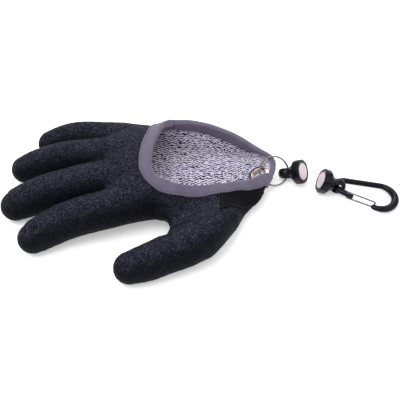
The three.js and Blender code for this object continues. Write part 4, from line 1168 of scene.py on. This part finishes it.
# carabiner
hook_span = HOOK_LENGTH - (HOOK_ROD + HOOK_ROD_WIDE) / 2 - HOOK_BIG_RADIUS - HOOK_SMALL_RADIUS
flare = math.asin((HOOK_BIG_RADIUS - HOOK_SMALL_RADIUS) / hook_span)
lug_angle = math.radians(195)
hook_yaw, HOOK_FALL, LEAN_ROOM = math.radians(-20.5), 0.063, 0.05
hook_x = Vector((math.cos(hook_yaw), math.sin(hook_yaw), -HOOK_FALL)).normalized()
hook_z = (Vector((0, 0, 1)) - hook_x * hook_x.z).normalized()
hook_y = hook_z.cross(hook_x)
lug_lean = (LUG_HOLE - HOOK_ROD) / 2 - CLEARANCE - LEAN_ROOM
hook_turn = placed(hook_x, hook_y, hook_z, Vector())
lug_on_hook = Vector((HOOK_SMALL_RADIUS * math.cos(lug_angle) + lug_lean,
                      HOOK_SMALL_RADIUS * math.sin(lug_angle), 0))
hook_place = placed(hook_x, hook_y, hook_z, line_lug - hook_turn @ lug_on_hook)
rod_here = hook_turn @ Vector((-math.sin(lug_angle), math.cos(lug_angle), 0))
holder("release_line_side", "holder_line_side", "magnet_disc_line_side", "magnet_line_side",
       holder_placement(line_face, line_facing, rod_here))

low_angle = -math.pi / 2 - flare
stub_root = Vector((HOOK_SMALL_RADIUS * math.cos(low_angle), HOOK_SMALL_RADIUS * math.sin(low_angle), 0))
gate_line = Vector((math.cos(-flare), math.sin(-flare), 0))
NOSE_ANGLE = math.radians(-110)


def arc(cx, radius, start, end, steps):
    return [Vector((cx + radius * math.cos(start + (end - start) * i / steps),
                    radius * math.sin(start + (end - start) * i / steps), 0)) for i in range(steps + 1)]


rod_path = [stub_root + gate_line * (STUB_LENGTH - d) for d in (0, 0.12, 0.4, 0.9, 1.6, 3.5, 6, 9)]
rod_path += arc(0, HOOK_SMALL_RADIUS, low_angle, -2 * math.pi - low_angle, 34)
spine_to = Vector((hook_span + HOOK_BIG_RADIUS * math.cos(math.pi / 2 + flare),
                   HOOK_BIG_RADIUS * math.sin(math.pi / 2 + flare), 0))
rod_path += [rod_path[-1].lerp(spine_to, k / 8) for k in range(1, 8)]
rod_path += arc(hook_span, HOOK_BIG_RADIUS, math.pi / 2 + flare, NOSE_ANGLE, 60)
NOSE_SHARE, NOSE_TAPER, ROD_SIDES = 0.35, 7, 22
nose_half = NOSE_SHARE * HOOK_ROD
STUB_ROUNDING, NOSE_ROUNDING = (0.60, 0.80, 0.92, 0.98, 1.0), (0.62, 0.86, 0.96, 1.0)
rod_points, last = [], len(rod_path) - 1
nose_end = rod_path[-1]
for i, at in enumerate(rod_path):
    along = (rod_path[min(i + 1, last)] - rod_path[max(i - 1, 0)]).normalized()
    across = Vector((-along.y, along.x, 0))
    bend = min(1, max(0, (at.x - hook_span) / HOOK_BIG_RADIUS))
    radius = (HOOK_ROD + (HOOK_ROD_WIDE - HOOK_ROD) * bend) / 2
    stub = STUB_ROUNDING[min(i, 4)]
    nose = NOSE_ROUNDING[min(last - i, 3)]
    to_nose = min(1, max(0, (at - nose_end).length / NOSE_TAPER))
    tall = nose_half + (radius - nose_half) * to_nose if i > last / 2 else radius
    for j in range(ROD_SIDES):
        t = 2 * math.pi * j / ROD_SIDES
        up = Vector((0, 0, tall * stub * nose * math.sin(t)))
        spot = at + across * radius * stub * nose * math.cos(t) + up
        rod_points.append(tuple(hook_place @ spot))
carabiner = piece("carabiner", *joined((rod_points, tube_faces(len(rod_path), ROD_SIDES))), ANODISED,
                  slot="anodised", replaces=["carabiner_body"], sharp=55)

PIVOT_BACK, PIVOT_ASIDE, CATCH_AHEAD, LEG_ROOM = 5, 0.6, 1.6, 0.25
gate_normal = Vector((-gate_line.y, gate_line.x, 0))
pivot = stub_root + gate_line * (STUB_LENGTH - PIVOT_BACK) - gate_normal * PIVOT_ASIDE
catch = nose_end + gate_line * CATCH_AHEAD + gate_normal * HOOK_ROD / 2
reach = catch - pivot
pivot_half = HOOK_ROD / 2 + CLEARANCE + GATE_WIRE / 2
PIN_LENGTH, WIRE_BEND, BEND_STEPS, WIRE_SIDES = 2.4, 1.1, 8, 14
nose_leg_half = nose_half + CLEARANCE + GATE_WIRE / 2 + LEG_ROOM


def bore(at):
    """A round pin of room square to the hook's plane."""
    radius = GATE_WIRE / 2 + CLEARANCE
    profile = [(radius, -2 * HOOK_ROD), (radius, 2 * HOOK_ROD)]
    p, f = joined(turned(profile, 24, hook_place @ Matrix.Translation(at)))
    return in_scene("bore", mesh_of("bore", p, [], f))


def cut_bores(obj, places):
    """Cuts the gate's bores through a piece and makes the result its mesh."""
    cutters = [bore(at) for at in places]
    for cutter in cutters:
        modifier = obj.modifiers.new("bore", "BOOLEAN")
        modifier.object = cutter
        modifier.operation = "DIFFERENCE"
        modifier.solver = "EXACT"
    made = made_real(obj)
    made.materials.clear()
    made.materials.append(ANODISED)
    made.polygons.foreach_set("material_index", [0] * len(made.polygons))
    for cutter in cutters:
        bpy.data.objects.remove(cutter)


cut_bores(carabiner, (pivot, catch))


def gate_wire():
    corners = [Vector((0, 0, pivot_half - PIN_LENGTH)), Vector((0, 0, pivot_half)),
               reach + Vector((0, 0, nose_leg_half)), reach - Vector((0, 0, nose_leg_half)),
               Vector((0, 0, -pivot_half)), Vector((0, 0, -pivot_half + PIN_LENGTH))]
    line = [corners[0]]
    for i in range(1, 5):
        back = corners[i] + (corners[i - 1] - corners[i]).normalized() * WIRE_BEND
        on = corners[i] + (corners[i + 1] - corners[i]).normalized() * WIRE_BEND
        for k in range(BEND_STEPS + 1):
            t = k / BEND_STEPS
            line.append(back * (1 - t) ** 2 + corners[i] * 2 * t * (1 - t) + on * t * t)
    line.append(corners[5])
    side = Vector((-reach.y, reach.x, 0)).normalized()
    points = []
    for i, at in enumerate(line):
        along = (line[min(i + 1, len(line) - 1)] - line[max(i - 1, 0)]).normalized()
        across = (side - along * side.dot(along)).normalized()
        up = along.cross(across)
        for j in range(WIRE_SIDES):
            t = 2 * math.pi * j / WIRE_SIDES
            spot = at + (across * math.cos(t) + up * math.sin(t)) * GATE_WIRE / 2
            points.append(tuple(hook_place @ (pivot + spot)))
    return points, tube_faces(len(line), WIRE_SIDES)


piece("gate_loop", *joined(gate_wire()), STEEL, body="gate", slot="steel", replaces=["wire_gate"], sharp=60)


# floor and light
def floor_material():
    m, n, shader, place = material("pale_floor", Roughness=0.9, Emission_Color=(1, 1, 1, 1),
                                   Emission_Strength=0.3)
    soft = n.noise(place, 6.0, 2.0)
    n.link(n.mix(soft, (0.86, 0.86, 0.86), (0.88, 0.88, 0.88)), shader["Base Color"])
    return m


FLOOR_LEVEL, FLOOR_HALF = -0.0003, 4
floor = in_scene("floor", bpy.data.meshes.new("floor"))
corners = [(FLOOR_HALF * x, FLOOR_HALF * y, FLOOR_LEVEL) for x, y in ((-1, -1), (1, -1), (1, 1), (-1, 1))]
floor.data.from_pydata(corners, [], [(0, 1, 2, 3)])
floor.data.materials.append(floor_material())

world = bpy.data.worlds.new("studio")
bpy.context.scene.world = world
world.use_nodes = True
sky = Nodes(world.node_tree)
up = sky.add("ShaderNodeSeparateXYZ", {0: sky.add("ShaderNodeTexCoord").outputs["Generated"]}).outputs["Z"]
studio_light = sky.mix(sky.ramp(up, 0.05, 0.85), (0.42, 0.42, 0.44), (1.0, 1.0, 1.0))
background = world.node_tree.nodes["Background"]
world.node_tree.links.new(studio_light, background.inputs["Color"])
background.inputs["Strength"].default_value = 0.95
bpy.context.scene.view_settings.view_transform = "Standard"


def area_light(name, place, size, power):
    light = in_scene(name, bpy.data.lights.new(name, "AREA"))
    light.data.size = size
    light.data.energy = power
    light.location = place
    light.rotation_euler = (VIEW_POINT - Vector(place)).to_track_quat("-Z", "Y").to_euler()


# place, size in metres, power in watts
area_light("key", (-0.5, -0.35, 1.25), 0.9, 12)
area_light("fill", (0.9, -0.4, 0.9), 1.2, 3.5)
area_light("back", (0.1, 1.1, 0.9), 1.0, 10)
